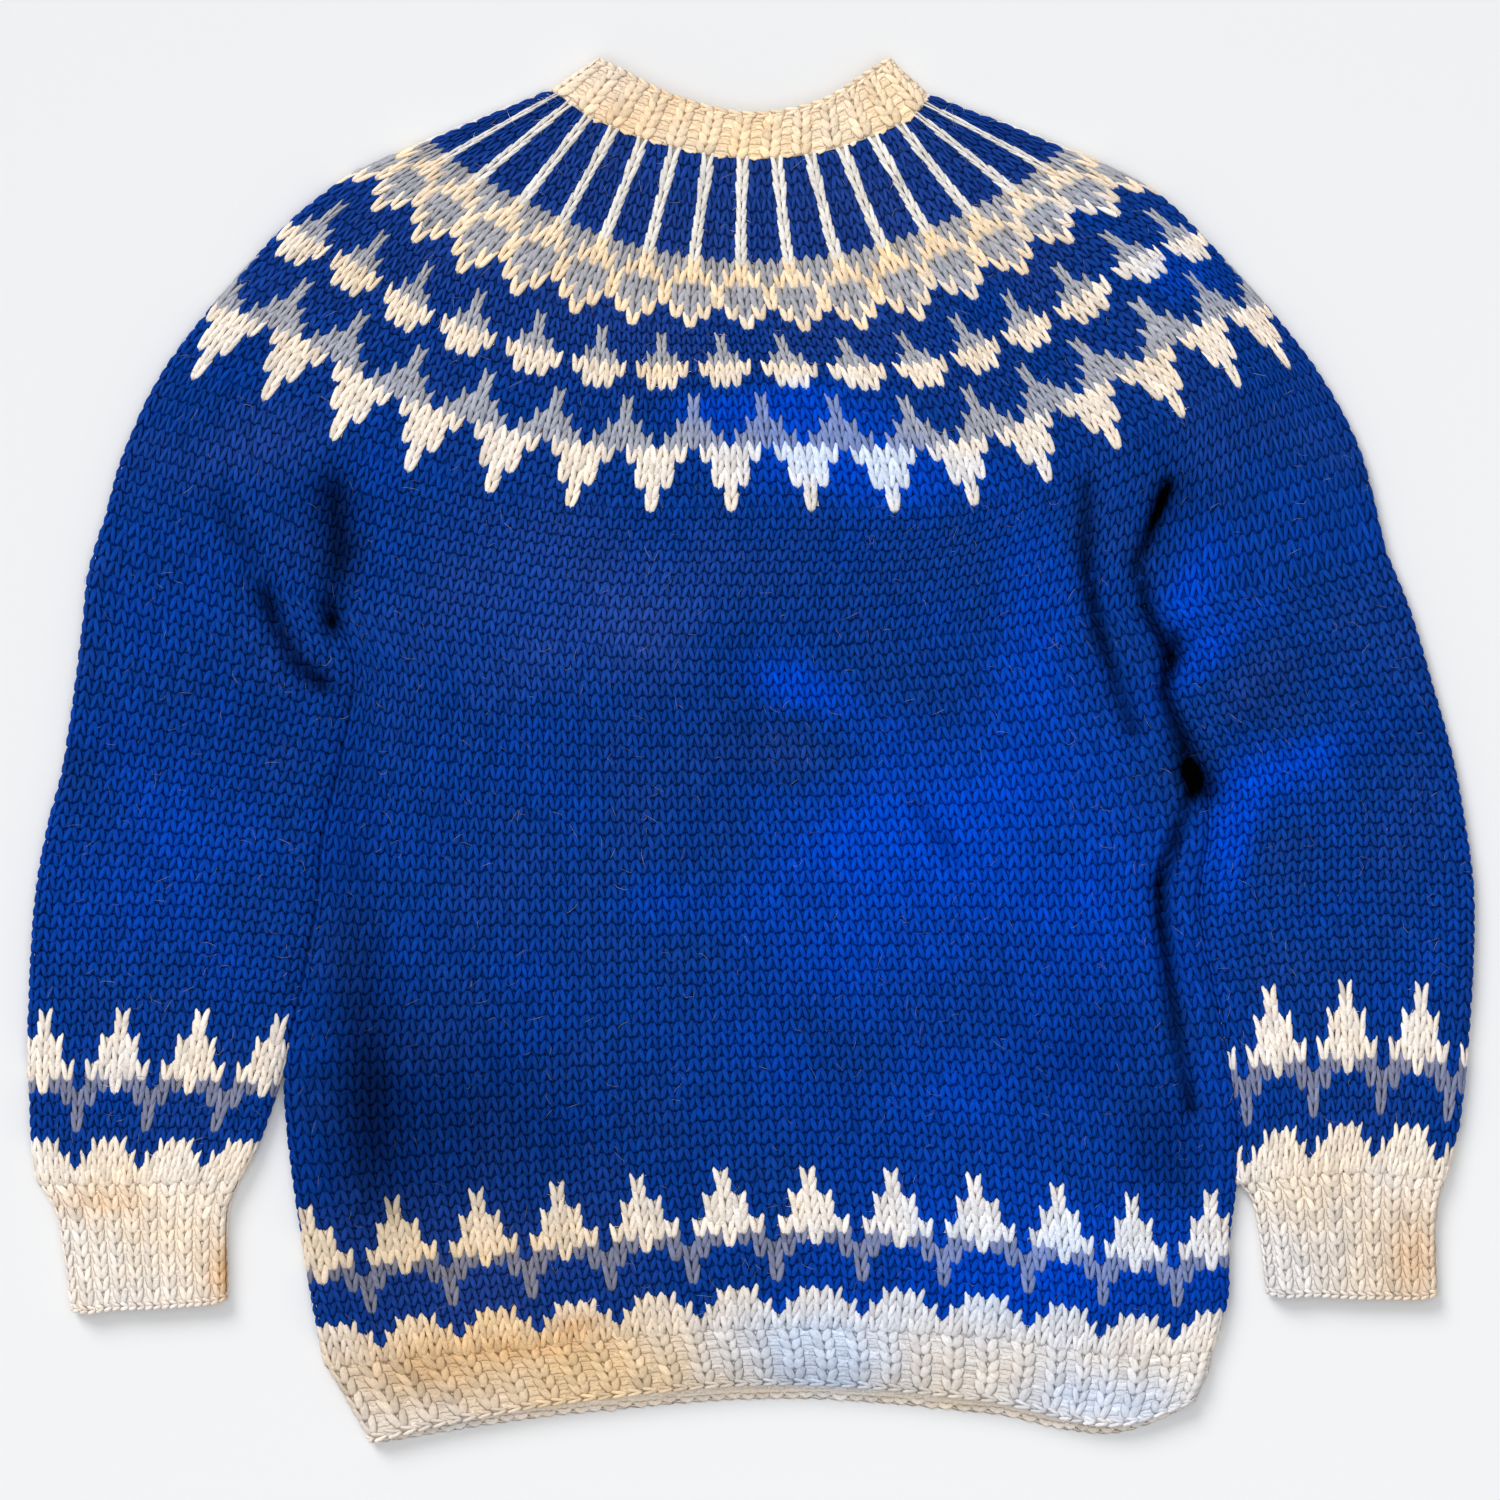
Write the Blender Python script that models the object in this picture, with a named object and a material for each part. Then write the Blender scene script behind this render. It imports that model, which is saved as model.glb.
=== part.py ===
"""Round-yoke wool sweater, hand knitted in bulky yarn and laid flat on its back.

The body and both sleeves are seamless flattened tubes.  They meet the round yoke at the
underarms, and the ribbed hem, cuffs and neckband finish the open ends.  Each piece is a
closed wall that goes round front and back, with its two layers lying on each other.

Axes: +X to the wearer's left as the front is seen, +Y towards the neck, +Z up.
The origin is on the surface that the sweater lies on, below the middle of its outline.
The tables are in millimetres; Blender's scene is in metres.
"""
import math

import bmesh
import bpy

MM = 0.001

# --- cloth -----------------------------------------------------------------------------
WALL = 4.0                 # one layer of bulky stranded knitting
LAYER_GAP = 1.5            # air left between the front layer and the back layer
REST_HEIGHT = 2 * WALL + LAYER_GAP
RELIEF_LOW = -0.9          # deepest crease of the front, below its usual height
RELIEF_HIGH = 2.3          # highest billow of the front, above its usual height
SEAM_GAP = 0.3             # between pieces that are knitted onto each other
SIDE_GAP = 0.8             # between body and sleeve where they lie side by side

# --- mesh ------------------------------------------------------------------------------
SLEEVE_STEPS = 12          # columns across a sleeve
BODY_STEPS = 36            # columns across the body
BACK_STRIDE = 3            # the plain underside uses every third column
EDGE_CROWDING = 0.065      # how far the body's columns crowd towards its sides
FOLD_ANGLES = (45.0, 0.0, -45.0)   # corners round a side fold
COLUMN_ROOM = 0.8          # least distance between columns that crowd at a fold
SHARP_ANGLE = 50.0         # edges bent more than this are shaded sharp

# --- ribbing ---------------------------------------------------------------------------
RIB_HEIGHT = 1.3
RIB_PROFILE = ((0.00, 0.0), (0.16, 1.0), (0.56, 1.0), (0.72, 0.0))   # along one rib, raised
HEM_RIBS = 25
CUFF_RIBS = 10
NECK_RIBS = 13

# --- the yoke: six rounds, each read from the left fold to the right fold ----------------
YOKE_STATIONS = (0.0, 0.09, 0.185, 0.34, 0.5, 0.66, 0.819, 0.91, 1.0)
LEFT_UNDERARM = 0.185
RIGHT_UNDERARM = 0.819
YOKE_ROUNDS = {
    # round      left fold    sleeve       underarm     chest        centre
    "neck":     ((-107, 349), (-98, 342), (-85, 333), (-51, 320), (-2, 314),
                 # chest     underarm     sleeve       right fold
                 (43, 318), (79, 332), (89, 339), (95, 347)),
    "diamonds": ((-214, 303), (-185, 282), (-151, 258), (-78, 233), (-2, 227),
                 (74, 229), (144, 257), (177, 280), (212, 297)),
    "crowns":   ((-254, 270), (-213, 248), (-169, 221), (-82, 197), (4, 197),
                 (95, 197), (166, 225), (212, 254), (245, 266)),
    "spikes":   ((-307, 197), (-257, 189), (-201, 162), (-97, 138), (11, 133),
                 (120, 139), (214, 179), (258, 197), (294, 203)),
    "chest":    ((-332, 158), (-272, 143), (-213, 120), (-105, 100), (6, 95),
                 (113, 101), (212, 130), (266, 145), (322, 160)),
    "join":     ((-343, 120), (-280, 97), (-221, 76), (-112, 59), (0, 54),
                 (106, 61), (207, 77), (273, 88), (337, 104)),
}
YOKE_STEPS = {"neck": 3, "diamonds": 1, "crowns": 2, "spikes": 2, "chest": 1}   # rows below

# --- the body below the yoke: side points of each row ------------------------------------
BODY_ROWS = (
    # left x, left y, right x, right y
    (-221, 76, 207, 77),       # underarms
    (-211, 47, 220, 50),
    (-212, 22, 224, 26),
    (-219, -12, 240, -12),
    (-227, -46, 243, -45),
    (-230, -80, 238, -80),
    (-237, -118, 244, -118),
    (-247, -165, 253, -160),
    (-246, -202, 258, -197),
    (-242, -234, 258, -228),
    (-237, -266, 254, -260),
    (-232, -297, 253, -292),
    (-226, -325, 246, -316),   # top of the hem ribbing
)
BOW_STATIONS = (0.0, 0.1, 0.25, 0.5, 0.75, 0.9, 1.0)
RIB_TOP_BOW = (0, 4, 9, 16, 9, -2, 0)       # how far the last body row rises off straight
BOW_FADES_OVER = 6                          # body rows over which that bow dies out upward

HEM_ROWS = (
    # left x, left y, right x, right y
    (-226, -325, 246, -316),
    (-214, -346, 243, -331),
    (-203, -365.7, 236, -345),
)
HEM_BOW = (0, 8, 16, 20, 6, -10, 0)         # rise of the hem's edge off a straight line
BACK_HEM_DROP = 7.5                         # how far the back hem shows below the front

# --- sleeves and cuffs: outer fold and the side that faces the body ----------------------
LEFT_SLEEVE_ROWS = (
    # outer x, outer y, body side x, body side y
    (-343, 120, -221, 76),
    (-351, 94, -211, 47),
    (-354, 66, -212, 22),
    (-359, 27, -219, -12),
    (-365, -12, -227, -46),
    (-374, -47, -230, -80),
    (-380, -88, -237, -118),
    (-383, -150, -247, -165),
    (-382, -188, -254, -190),
    (-381, -210, -260, -206),
    (-378, -228, -265, -218),
)
RIGHT_SLEEVE_ROWS = (
    # body side x, body side y, outer x, outer y
    (207, 77, 337, 104),
    (220, 50, 350, 72),
    (224, 26, 359, 42),
    (240, -12, 371, 0),
    (243, -45, 378, -36),
    (238, -80, 383, -72),
    (244, -118, 383, -112),
    (253, -160, 380, -160),
    (258, -197, 376, -197),
    (258, -228, 371, -220),
)
LEFT_CUFF_ROWS = (
    # outer x, outer y, inner x, inner y
    (-378, -228, -265, -218),
    (-369, -243, -274, -233),
    (-365, -260, -278, -250),
    (-360, -296, -278, -290),
)
RIGHT_CUFF_ROWS = (
    # inner x, inner y, outer x, outer y
    (258, -228, 371, -220),
    (266, -239, 365, -237),
    (270, -256, 363, -258),
    (274, -287, 364, -288),
)
CUFF_END_BOW = (0, -2, -1, -2, -2, -2, 0)

# --- the neckband: its seam to the yoke and its free edge --------------------------------
NECK_EDGE_STATIONS = (0.0, 0.1, 0.3, 0.5, 0.7, 0.9, 1.0)
NECK_EDGE = ((-81, 366), (-69, 360), (-38, 345), (-1, 337), (36, 343), (63, 359), (74, 366))

# --- creases and billows of the front layer ---------------------------------------------
FOLDS = (
    # name                    x0    y0    x1    y1  width height
    ("left armhole",        -222,  132, -221,   84,    8, -2.4),
    ("left underarm",       -254,   69, -230,   36,    8, -2.2),
    ("left sleeve head",    -270,  119, -257,   93,   12, -1.2),
    ("left underarm pad",   -245,  100, -236,   62,   14,  2.2),
    ("left chest pad",      -196,  104, -190,   30,   18,  1.8),
    ("right armhole",        220,  132,  206,   84,    9, -2.8),
    ("right chest tuck",     181,  132,  203,   14,    8, -2.4),
    ("right chest pad",      194,  120,  196,   62,    8,  2.0),
    ("right underarm pad",   240,  110,  246,   40,   18,  2.4),
    ("right side tuck up",   233,  -12,  217,  -63,    7, -2.8),
    ("right side tuck",      217,  -63,  223, -133,    7, -2.8),
    ("right side tuck low",  223, -133,  233, -179,    8, -1.8),
    ("right side roll",      230,  -50,  236, -130,    7,  1.6),
    ("right front roll",     198,  -40,  200, -130,   16,  2.0),
    ("waist dent",            89,  -32,  109,  -60,    9, -1.8),
    ("waist sweep",          132,    5,   26,  -69,   20,  1.5),
    ("left front billow",   -110,   20,  -80,  -90,   48,  1.3),
    ("right front billow",   140,  -70,  150, -190,   46,  1.8),
    ("low front hollow",      20, -120,   60, -220,   34, -0.7),
    ("left sleeve crown",   -285,  150, -318, -130,   36,  1.9),
    ("right sleeve crown",   285,  120,  318, -130,   34,  1.9),
    ("left elbow crease",   -384,  -10, -320,    4,   11, -1.4),
    ("right elbow crease",   384,   20,  322,   -4,   11, -1.4),
    ("yoke crown",          -120,  215,  120,  215,   46,  1.2),
)


def smooth_through(stations, values, t):
    """Value at t of a smooth curve that passes through the values at the stations."""
    last = len(stations) - 1
    k = 0
    while k < last - 1 and t > stations[k + 1]:
        k += 1

    def slope(i):
        low = max(i - 1, 0)
        high = min(i + 1, last)
        return (values[high] - values[low]) / (stations[high] - stations[low])

    step = stations[k + 1] - stations[k]
    s = (t - stations[k]) / step
    start = values[k] * (1 + 2 * s) * (1 - s) ** 2 + slope(k) * step * s * (1 - s) ** 2
    end = values[k + 1] * s * s * (3 - 2 * s) + slope(k + 1) * step * s * s * (s - 1)
    return start + end


def smooth_point(stations, points, t):
    """Point at t on a smooth curve through points that stand at the stations."""
    xs = [p[0] for p in points]
    ys = [p[1] for p in points]
    return smooth_through(stations, xs, t), smooth_through(stations, ys, t)


def body_columns():
    """Shares of the body's width, crowded towards its sides, where it creases most."""
    columns = []
    for k in range(BODY_STEPS + 1):
        t = k / BODY_STEPS
        columns.append(t - EDGE_CROWDING * math.sin(2 * math.pi * t))
    return columns


def sleeve_columns():
    return [k / SLEEVE_STEPS for k in range(SLEEVE_STEPS + 1)]


def yoke_columns():
    """Columns of the whole front: one sleeve, the body and the other sleeve."""
    left = [LEFT_UNDERARM * t for t in sleeve_columns()]
    width = RIGHT_UNDERARM - LEFT_UNDERARM
    middle = [LEFT_UNDERARM + width * t for t in body_columns()]
    right = [RIGHT_UNDERARM + (1 - RIGHT_UNDERARM) * t for t in sleeve_columns()]
    return left + middle[1:] + right[1:]


def straight_row(x0, y0, x1, y1, columns, bow=None):
    """Row of points between two sides, lifted off the straight line by a bow."""
    row = []
    for t in columns:
        lift = smooth_through(BOW_STATIONS, bow, t) if bow else 0.0
        row.append((x0 + (x1 - x0) * t, y0 + (y1 - y0) * t + lift))
    return row


def relief(x, y):
    """Height of the front layer above or below its usual level."""
    height = 0.0
    for _name, x0, y0, x1, y1, width, size in FOLDS:
        dx = x1 - x0
        dy = y1 - y0
        along = ((x - x0) * dx + (y - y0) * dy) / (dx * dx + dy * dy)
        along = min(max(along, 0.0), 1.0)
        off = math.hypot(x - x0 - along * dx, y - y0 - along * dy)
        height += size * math.exp(-(off / width) ** 2)
    return min(max(height, RELIEF_LOW), RELIEF_HIGH)


def walk(row, distance):
    """Point that lies a distance along a row of points."""
    left = distance
    for (x0, y0), (x1, y1) in zip(row, row[1:]):
        length = math.hypot(x1 - x0, y1 - y0)
        if left <= length:
            break
        left -= length
    share = left / length
    return x0 + (x1 - x0) * share, y0 + (y1 - y0) * share


def row_length(row):
    return sum(math.hypot(b[0] - a[0], b[1] - a[1]) for a, b in zip(row, row[1:]))


def clear_of_folds(places, total, left, right):
    """Distances along a row, pushed just clear of the rounded folds at its two ends."""
    last = len(places) + 1
    cleared = []
    for k, place in enumerate(places, start=1):
        lowest = left + COLUMN_ROOM * k
        highest = total - right - COLUMN_ROOM * (last - k)
        cleared.append(min(max(place, lowest), highest))
    return cleared


def distances(row):
    """Distance of each inner point of a row from the row's start."""
    return [row_length(row[:k + 1]) for k in range(1, len(row) - 1)]


def rib_places(ribs, total):
    """Distances along a row, and their raise, for the given number of ribs."""
    places = [(k + share) / ribs for k in range(ribs) for share, _raised in RIB_PROFILE]
    raises = [raised * RIB_HEIGHT for _k in range(ribs) for _share, raised in RIB_PROFILE]
    return [share * total for share in places[1:]], raises[1:]


def middle_share(share):
    """A back hem shows most in the middle and meets the front hem at the sides."""
    return math.sin(math.pi * min(max(share, 0.0), 1.0)) ** 0.5


def rings(row, insets, ribs, back_drop):
    """Outer and inner ring of points round the tube along one row, each as (x, y, z)."""
    total = row_length(row)
    back = row[::BACK_STRIDE]
    radii = [(REST_HEIGHT + relief(*row[end])) / 2 for end in (0, -1)]
    leads = [inset + radius for inset, radius in zip(insets, radii)]
    outer = []
    inner = []

    def fold(end, angles):
        """Corners round the left fold, end 0, or the right one, end 1."""
        radius = radii[end]
        for angle in angles:
            across = math.cos(math.radians(angle))
            up = math.sin(math.radians(angle))
            for ring, reach in ((outer, radius), (inner, radius - WALL)):
                from_end = leads[end] - reach * across
                place = from_end if end == 0 else total - from_end
                x, y = walk(row, place)
                drop = back_drop * middle_share(place / total) * (1 - up) / 2
                ring.append((x, y - drop, radius + reach * up))

    # front layer, from the left fold to the right one
    fold(0, [90.0])
    if ribs:
        places, raises = rib_places(ribs, total)
    else:
        places = distances(row)
        raises = [0.0] * len(places)
    for place, raised in zip(clear_of_folds(places, total, *leads), raises):
        x, y = walk(row, place)
        z = REST_HEIGHT + relief(x, y)
        outer.append((x, y, z + raised))
        inner.append((x, y, z - WALL))
    fold(1, [90.0] + list(FOLD_ANGLES) + [-90.0])

    # back layer, from the right fold to the left one
    back_total = row_length(back)
    for place in reversed(clear_of_folds(distances(back), back_total, *leads)):
        x, y = walk(back, place)
        drop = back_drop * middle_share(place / back_total)
        outer.append((x, y - drop, 0.0))
        inner.append((x, y - drop, WALL))
    fold(0, [-90.0] + list(reversed(FOLD_ANGLES)))
    return outer, inner


def shortened(rows, ends):
    """Rows with the first or last one drawn in by half a seam gap."""
    rows = [list(row) for row in rows]
    for end, neighbour, seam in ((0, 1, ends[0]), (-1, -2, ends[1])):
        if not seam:
            continue
        moved = []
        for (x0, y0), (x1, y1) in zip(rows[end], rows[neighbour]):
            length = math.hypot(x1 - x0, y1 - y0)
            share = SEAM_GAP / 2 / length
            moved.append((x0 + (x1 - x0) * share, y0 + (y1 - y0) * share))
        rows[end] = moved
    return rows


def tube(name, rows, material, insets=(0.0, 0.0), ribs=0, seams=(True, True), back_drops=None):
    """Closed cloth tube lofted through rows, with an open mouth at each end."""
    rows = shortened(rows, seams)
    drops = back_drops or [0.0] * len(rows)
    loops = [rings(row, insets, ribs, drop) for row, drop in zip(rows, drops)]
    bm = bmesh.new()
    skins = []
    for layer in (0, 1):
        skins.append([[bm.verts.new((x * MM, y * MM, z * MM)) for x, y, z in loop[layer]]
                      for loop in loops])
    outer, inner = skins
    count = len(outer[0])

    def band(first, second):
        for k in range(count):
            n = (k + 1) % count
            bm.faces.new((first[k], first[n], second[n], second[k]))

    for first, second in zip(outer, outer[1:]):
        band(first, second)
    for first, second in zip(inner, inner[1:]):
        band(second, first)
    band(inner[0], outer[0])
    band(outer[-1], inner[-1])
    bmesh.ops.recalc_face_normals(bm, faces=bm.faces)
    mesh = bpy.data.meshes.new(name)
    bm.to_mesh(mesh)
    bm.free()
    mesh.shade_smooth()
    mesh.set_sharp_from_angle(angle=math.radians(SHARP_ANGLE))
    mesh.materials.append(material)
    piece = bpy.data.objects.new(name, mesh)
    collection.objects.link(piece)
    return piece


def wool(name, colour, roughness=0.92):
    material = bpy.data.materials.new(name)
    material.use_nodes = True
    shader = material.node_tree.nodes["Principled BSDF"]
    shader.inputs["Base Color"].default_value = (*colour, 1.0)
    shader.inputs["Roughness"].default_value = roughness
    shader.inputs["Metallic"].default_value = 0.0
    return material


def yoke_rows():
    """Rows of the yoke from the neck to the underarms."""
    names = list(YOKE_ROUNDS)
    columns = yoke_columns()
    rounds = [[smooth_point(YOKE_STATIONS, YOKE_ROUNDS[name], t) for t in columns]
              for name in names]
    levels = list(range(len(names)))
    rows = []
    for level, name in enumerate(names[:-1]):
        for step in range(YOKE_STEPS[name]):
            depth = level + step / YOKE_STEPS[name]
            rows.append([smooth_point(levels, [row[k] for row in rounds], depth)
                         for k in range(len(columns))])
    rows.append(rounds[-1])
    return rows


def body_rows(join_row):
    """Rows of the body; the first is the body's share of the yoke's last round."""
    columns = body_columns()
    rows = [join_row[SLEEVE_STEPS:SLEEVE_STEPS + BODY_STEPS + 1]]
    first = rows[0]
    last = len(BODY_ROWS) - 1
    for k, (x0, y0, x1, y1) in enumerate(BODY_ROWS[1:], start=1):
        row = straight_row(x0, y0, x1, y1, columns)
        low = max(0.0, 1 - (last - k) / BOW_FADES_OVER)
        high = max(0.0, 1 - k / BOW_FADES_OVER)
        bowed = []
        for t, (x, y), (_join_x, join_y) in zip(columns, row, first):
            flat_y = BODY_ROWS[0][1] + (BODY_ROWS[0][3] - BODY_ROWS[0][1]) * t
            rise = low * smooth_through(BOW_STATIONS, RIB_TOP_BOW, t)
            bowed.append((x, y + rise + high * (join_y - flat_y)))
        rows.append(bowed)
    return rows


def sleeve_rows(table, join_points):
    columns = sleeve_columns()
    rows = [join_points]
    rows += [straight_row(*row, columns) for row in table[1:]]
    return rows


def finish_rows(table, first_row, end_bow, columns):
    """Rows of a ribbed end: from the row it is knitted onto to its free edge."""
    first_lifts = [point[1] - straight[1]
                   for point, straight in zip(first_row, straight_row(*table[0], columns))]
    rows = [first_row]
    for k, sides in enumerate(table[1:], start=1):
        share = k / (len(table) - 1)
        row = []
        for (x, y), first_lift, t in zip(straight_row(*sides, columns), first_lifts, columns):
            rise = share * smooth_through(BOW_STATIONS, end_bow, t)
            row.append((x, y + rise + (1 - share) * first_lift))
        rows.append(row)
    return rows


def neckband_rows(neck_row):
    """Rows of the neckband from its seam up to the free edge."""
    places = [0.0] + distances(neck_row) + [row_length(neck_row)]
    edge = [smooth_point(NECK_EDGE_STATIONS, NECK_EDGE, place / places[-1]) for place in places]
    middle = [((a[0] + b[0]) / 2, (a[1] + b[1]) / 2) for a, b in zip(neck_row, edge)]
    return [edge, middle, list(neck_row)]


for old in list(bpy.data.objects):
    bpy.data.objects.remove(old, do_unlink=True)

collection = bpy.data.collections.new("nordic_yoke_sweater")
bpy.context.scene.collection.children.link(collection)

blue_wool = wool("blue_wool", (0.012, 0.05, 0.30))
patterned_wool = wool("patterned_wool", (0.03, 0.08, 0.34))
cream_wool = wool("cream_wool", (0.78, 0.66, 0.50))

yoke = yoke_rows()
join = yoke[-1]
body_end = SLEEVE_STEPS + BODY_STEPS
body = body_rows(join)
sleeve_left = sleeve_rows(LEFT_SLEEVE_ROWS, join[:SLEEVE_STEPS + 1])
sleeve_right = sleeve_rows(RIGHT_SLEEVE_ROWS, join[body_end:])
half_side = SIDE_GAP / 2

tube("neckband", neckband_rows(yoke[0]), cream_wool, ribs=NECK_RIBS, seams=(False, True))
tube("yoke", yoke, patterned_wool)
tube("body", body, blue_wool, insets=(half_side, half_side))
tube("sleeve_left", sleeve_left, blue_wool, insets=(0.0, half_side))
tube("sleeve_right", sleeve_right, blue_wool, insets=(half_side, 0.0))
tube("hem_rib", finish_rows(HEM_ROWS, body[-1], HEM_BOW, body_columns()), cream_wool,
     insets=(half_side, half_side), ribs=HEM_RIBS, seams=(True, False),
     back_drops=(0.0, BACK_HEM_DROP / 2, BACK_HEM_DROP))
tube("cuff_rib_left", finish_rows(LEFT_CUFF_ROWS, sleeve_left[-1], CUFF_END_BOW,
                                  sleeve_columns()),
     cream_wool, insets=(0.0, half_side), ribs=CUFF_RIBS, seams=(True, False))
tube("cuff_rib_right", finish_rows(RIGHT_CUFF_ROWS, sleeve_right[-1], CUFF_END_BOW,
                                   sleeve_columns()),
     cream_wool, insets=(half_side, 0.0), ribs=CUFF_RIBS, seams=(True, False))
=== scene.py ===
"""Looks of a round-yoke wool sweater that lies flat on its back.

Every knitted piece is a thin skin of cloth with its stitches on it as strands of yarn.
Tables are in millimetres; Blender's scene is in metres.
"""
import math

import bpy
import numpy as np
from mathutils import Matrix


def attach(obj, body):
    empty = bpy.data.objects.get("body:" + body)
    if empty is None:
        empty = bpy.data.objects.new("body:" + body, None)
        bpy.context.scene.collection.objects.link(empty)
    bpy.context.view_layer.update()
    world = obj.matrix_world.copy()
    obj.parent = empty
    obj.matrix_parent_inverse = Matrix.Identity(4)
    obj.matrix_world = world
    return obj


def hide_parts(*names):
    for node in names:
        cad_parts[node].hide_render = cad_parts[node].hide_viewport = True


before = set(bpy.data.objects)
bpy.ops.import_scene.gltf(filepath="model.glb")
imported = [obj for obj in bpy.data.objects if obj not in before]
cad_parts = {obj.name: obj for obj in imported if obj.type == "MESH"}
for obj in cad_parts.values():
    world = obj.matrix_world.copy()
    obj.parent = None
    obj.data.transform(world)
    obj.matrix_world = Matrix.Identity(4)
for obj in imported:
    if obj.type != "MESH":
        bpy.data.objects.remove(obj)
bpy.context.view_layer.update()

# --- table, camera and light -------------------------------------------------------------
# The sweater lies on a pale matt table and is seen from straight above.
# Soft daylight comes down from a wide ceiling panel and low from a window at the upper left.

MM = 0.001
SEEN_WIDTH = 795.0 * MM
CAMERA_HEIGHT = 3.0
CAMERA_SENSOR = 36.0
CAMERA_AT = (-0.3 * MM, -0.5 * MM)
CLOTH_LEVEL = 10.0 * MM     # the view is to scale at this height
TABLE_END = 9.0             # far enough that its edge is never seen
TABLE_COLOUR = (0.81, 0.81, 0.81, 1.0)
TABLE_ROUGHNESS = 0.95
CEILING_AT = (0.0, -0.5, 2.8)
CEILING_WIDTH = 3.0
CEILING_WATTS = 34.0
WINDOW_LEAN = 52            # degrees from straight above
WINDOW_TURN = 215           # degrees, so that its light comes from the upper left
WINDOW_BLUR = 30            # degrees that the bright window spans
WINDOW_STRENGTH = 1.9
SKY_COLOUR = (0.93, 0.96, 1.0, 1.0)
SKY_STRENGTH = 0.45


def put_in_scene(name, data):
    """New object of this name, linked into the scene."""
    made = bpy.data.objects.new(name, data)
    bpy.context.scene.collection.objects.link(made)
    return made


camera_data = bpy.data.cameras.new("camera")
camera_data.sensor_width = CAMERA_SENSOR
camera_data.lens = CAMERA_SENSOR * CAMERA_HEIGHT / SEEN_WIDTH
camera = put_in_scene("camera", camera_data)
camera.location = (*CAMERA_AT, CAMERA_HEIGHT + CLOTH_LEVEL)
bpy.context.scene.camera = camera

table_corners = [(x * TABLE_END, y * TABLE_END, 0) for x, y in ((-1, -1), (1, -1), (1, 1), (-1, 1))]
table_mesh = bpy.data.meshes.new("table")
table_mesh.from_pydata(table_corners, [], [(0, 1, 2, 3)])
table_paint = bpy.data.materials.new("pale_table")
table_paint.use_nodes = True
table_shader = table_paint.node_tree.nodes["Principled BSDF"]
table_shader.inputs["Base Color"].default_value = TABLE_COLOUR
table_shader.inputs["Roughness"].default_value = TABLE_ROUGHNESS
table_mesh.materials.append(table_paint)
table = put_in_scene("table", table_mesh)

ceiling_data = bpy.data.lights.new("ceiling", "AREA")
ceiling_data.size = CEILING_WIDTH
ceiling_data.energy = CEILING_WATTS
ceiling = put_in_scene("ceiling", ceiling_data)
ceiling.location = CEILING_AT
window_data = bpy.data.lights.new("window", "SUN")
window_data.angle = math.radians(WINDOW_BLUR)
window_data.energy = WINDOW_STRENGTH
window = put_in_scene("window", window_data)
window.rotation_euler = (math.radians(WINDOW_LEAN), 0.0, math.radians(WINDOW_TURN))
sky = bpy.data.worlds.new("sky")
sky.use_nodes = True
sky_light = sky.node_tree.nodes["Background"]
sky_light.inputs["Color"].default_value = SKY_COLOUR
sky_light.inputs["Strength"].default_value = SKY_STRENGTH
bpy.context.scene.world = sky
bpy.context.scene.view_settings.view_transform = "Standard"

# --- body --------------------------------------------------------------------------------
# One seamless tube of bulky wool, knitted in the round: plain royal blue down to a band
# of white and grey points above the hem.  It lies flattened, with soft billows and tucks.

REST_HEIGHT = 9.5           # outer side of the front layer, where it lies level
FRONT_FROM = 3.2            # what is higher up than this belongs to the front layer
STITCH_SINK = 1.05          # the skin lies this far below the stitches' usual top
SKIN = 1.0                  # the skin's own thickness
SNUG = 0.6                  # at the side folds the skin is this much closer to the stitches
LIES_ON = 0.06              # stitches underneath are pressed flat just off the table
BODY_FLAT = (0.94, 0.37)    # metres round the tube and down it
BODY_STITCHES = 138
PLAIN_ROWS = 42
BAND_ROW = 6.36             # height of one row of the patterned band
BODY_BAND_AT = 0.8          # first white point, in stitches from the left fold
BAND_LEAN = 1.1             # the band twists by so many stitches, rightwards on its way down
FOLD_ROOM = 0.35            # body and sleeve each keep this far from the line between them

BODY_SIDES = (
    # left x, left y, right x, right y
    (-221, 76, 207, 77),
    (-211, 47, 220, 50),
    (-212, 22, 224, 26),
    (-219, -12, 240, -12),
    (-227, -46, 243, -45),
    (-230, -80, 238, -80),
    (-237, -118, 244, -118),
    (-247, -165, 253, -160),
    (-246, -202, 258, -197),
    (-242, -234, 258, -228),
    (-237, -266, 254, -260),
    (-232, -297, 253, -292),
    (-226, -325, 246, -316),
)
BOW_STATIONS = (0.0, 0.1, 0.25, 0.5, 0.75, 0.9, 1.0)
RIB_TOP_BOW = (0, 4, 9, 16, 9, -2, 0)
BOW_FADES_OVER = 6          # rings of the body
# the tuck at the right side crowds the stitches there, most of all at the hem
BODY_STATIONS = (0.0, 0.37, 0.54, 0.7, 0.8, 0.88, 1.0)
HEM_STATIONS = (0.0, 0.372, 0.567, 0.740, 0.839, 0.905, 1.0)
LATE_STATIONS = (0.0, 0.4, 0.5, 0.6, 0.7, 0.8, 0.88, 0.95, 1.0)
LATE_SHIFTS = (0.0, 0.0, -0.0175, -0.0236, -0.029, -0.018, -0.018, -0.004, 0.0)
LATE_POWER = 8              # these last shifts come only in the lowest rows
SIDE_PULL = 6               # the columns of stitches stay straight but close to the sides

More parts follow.
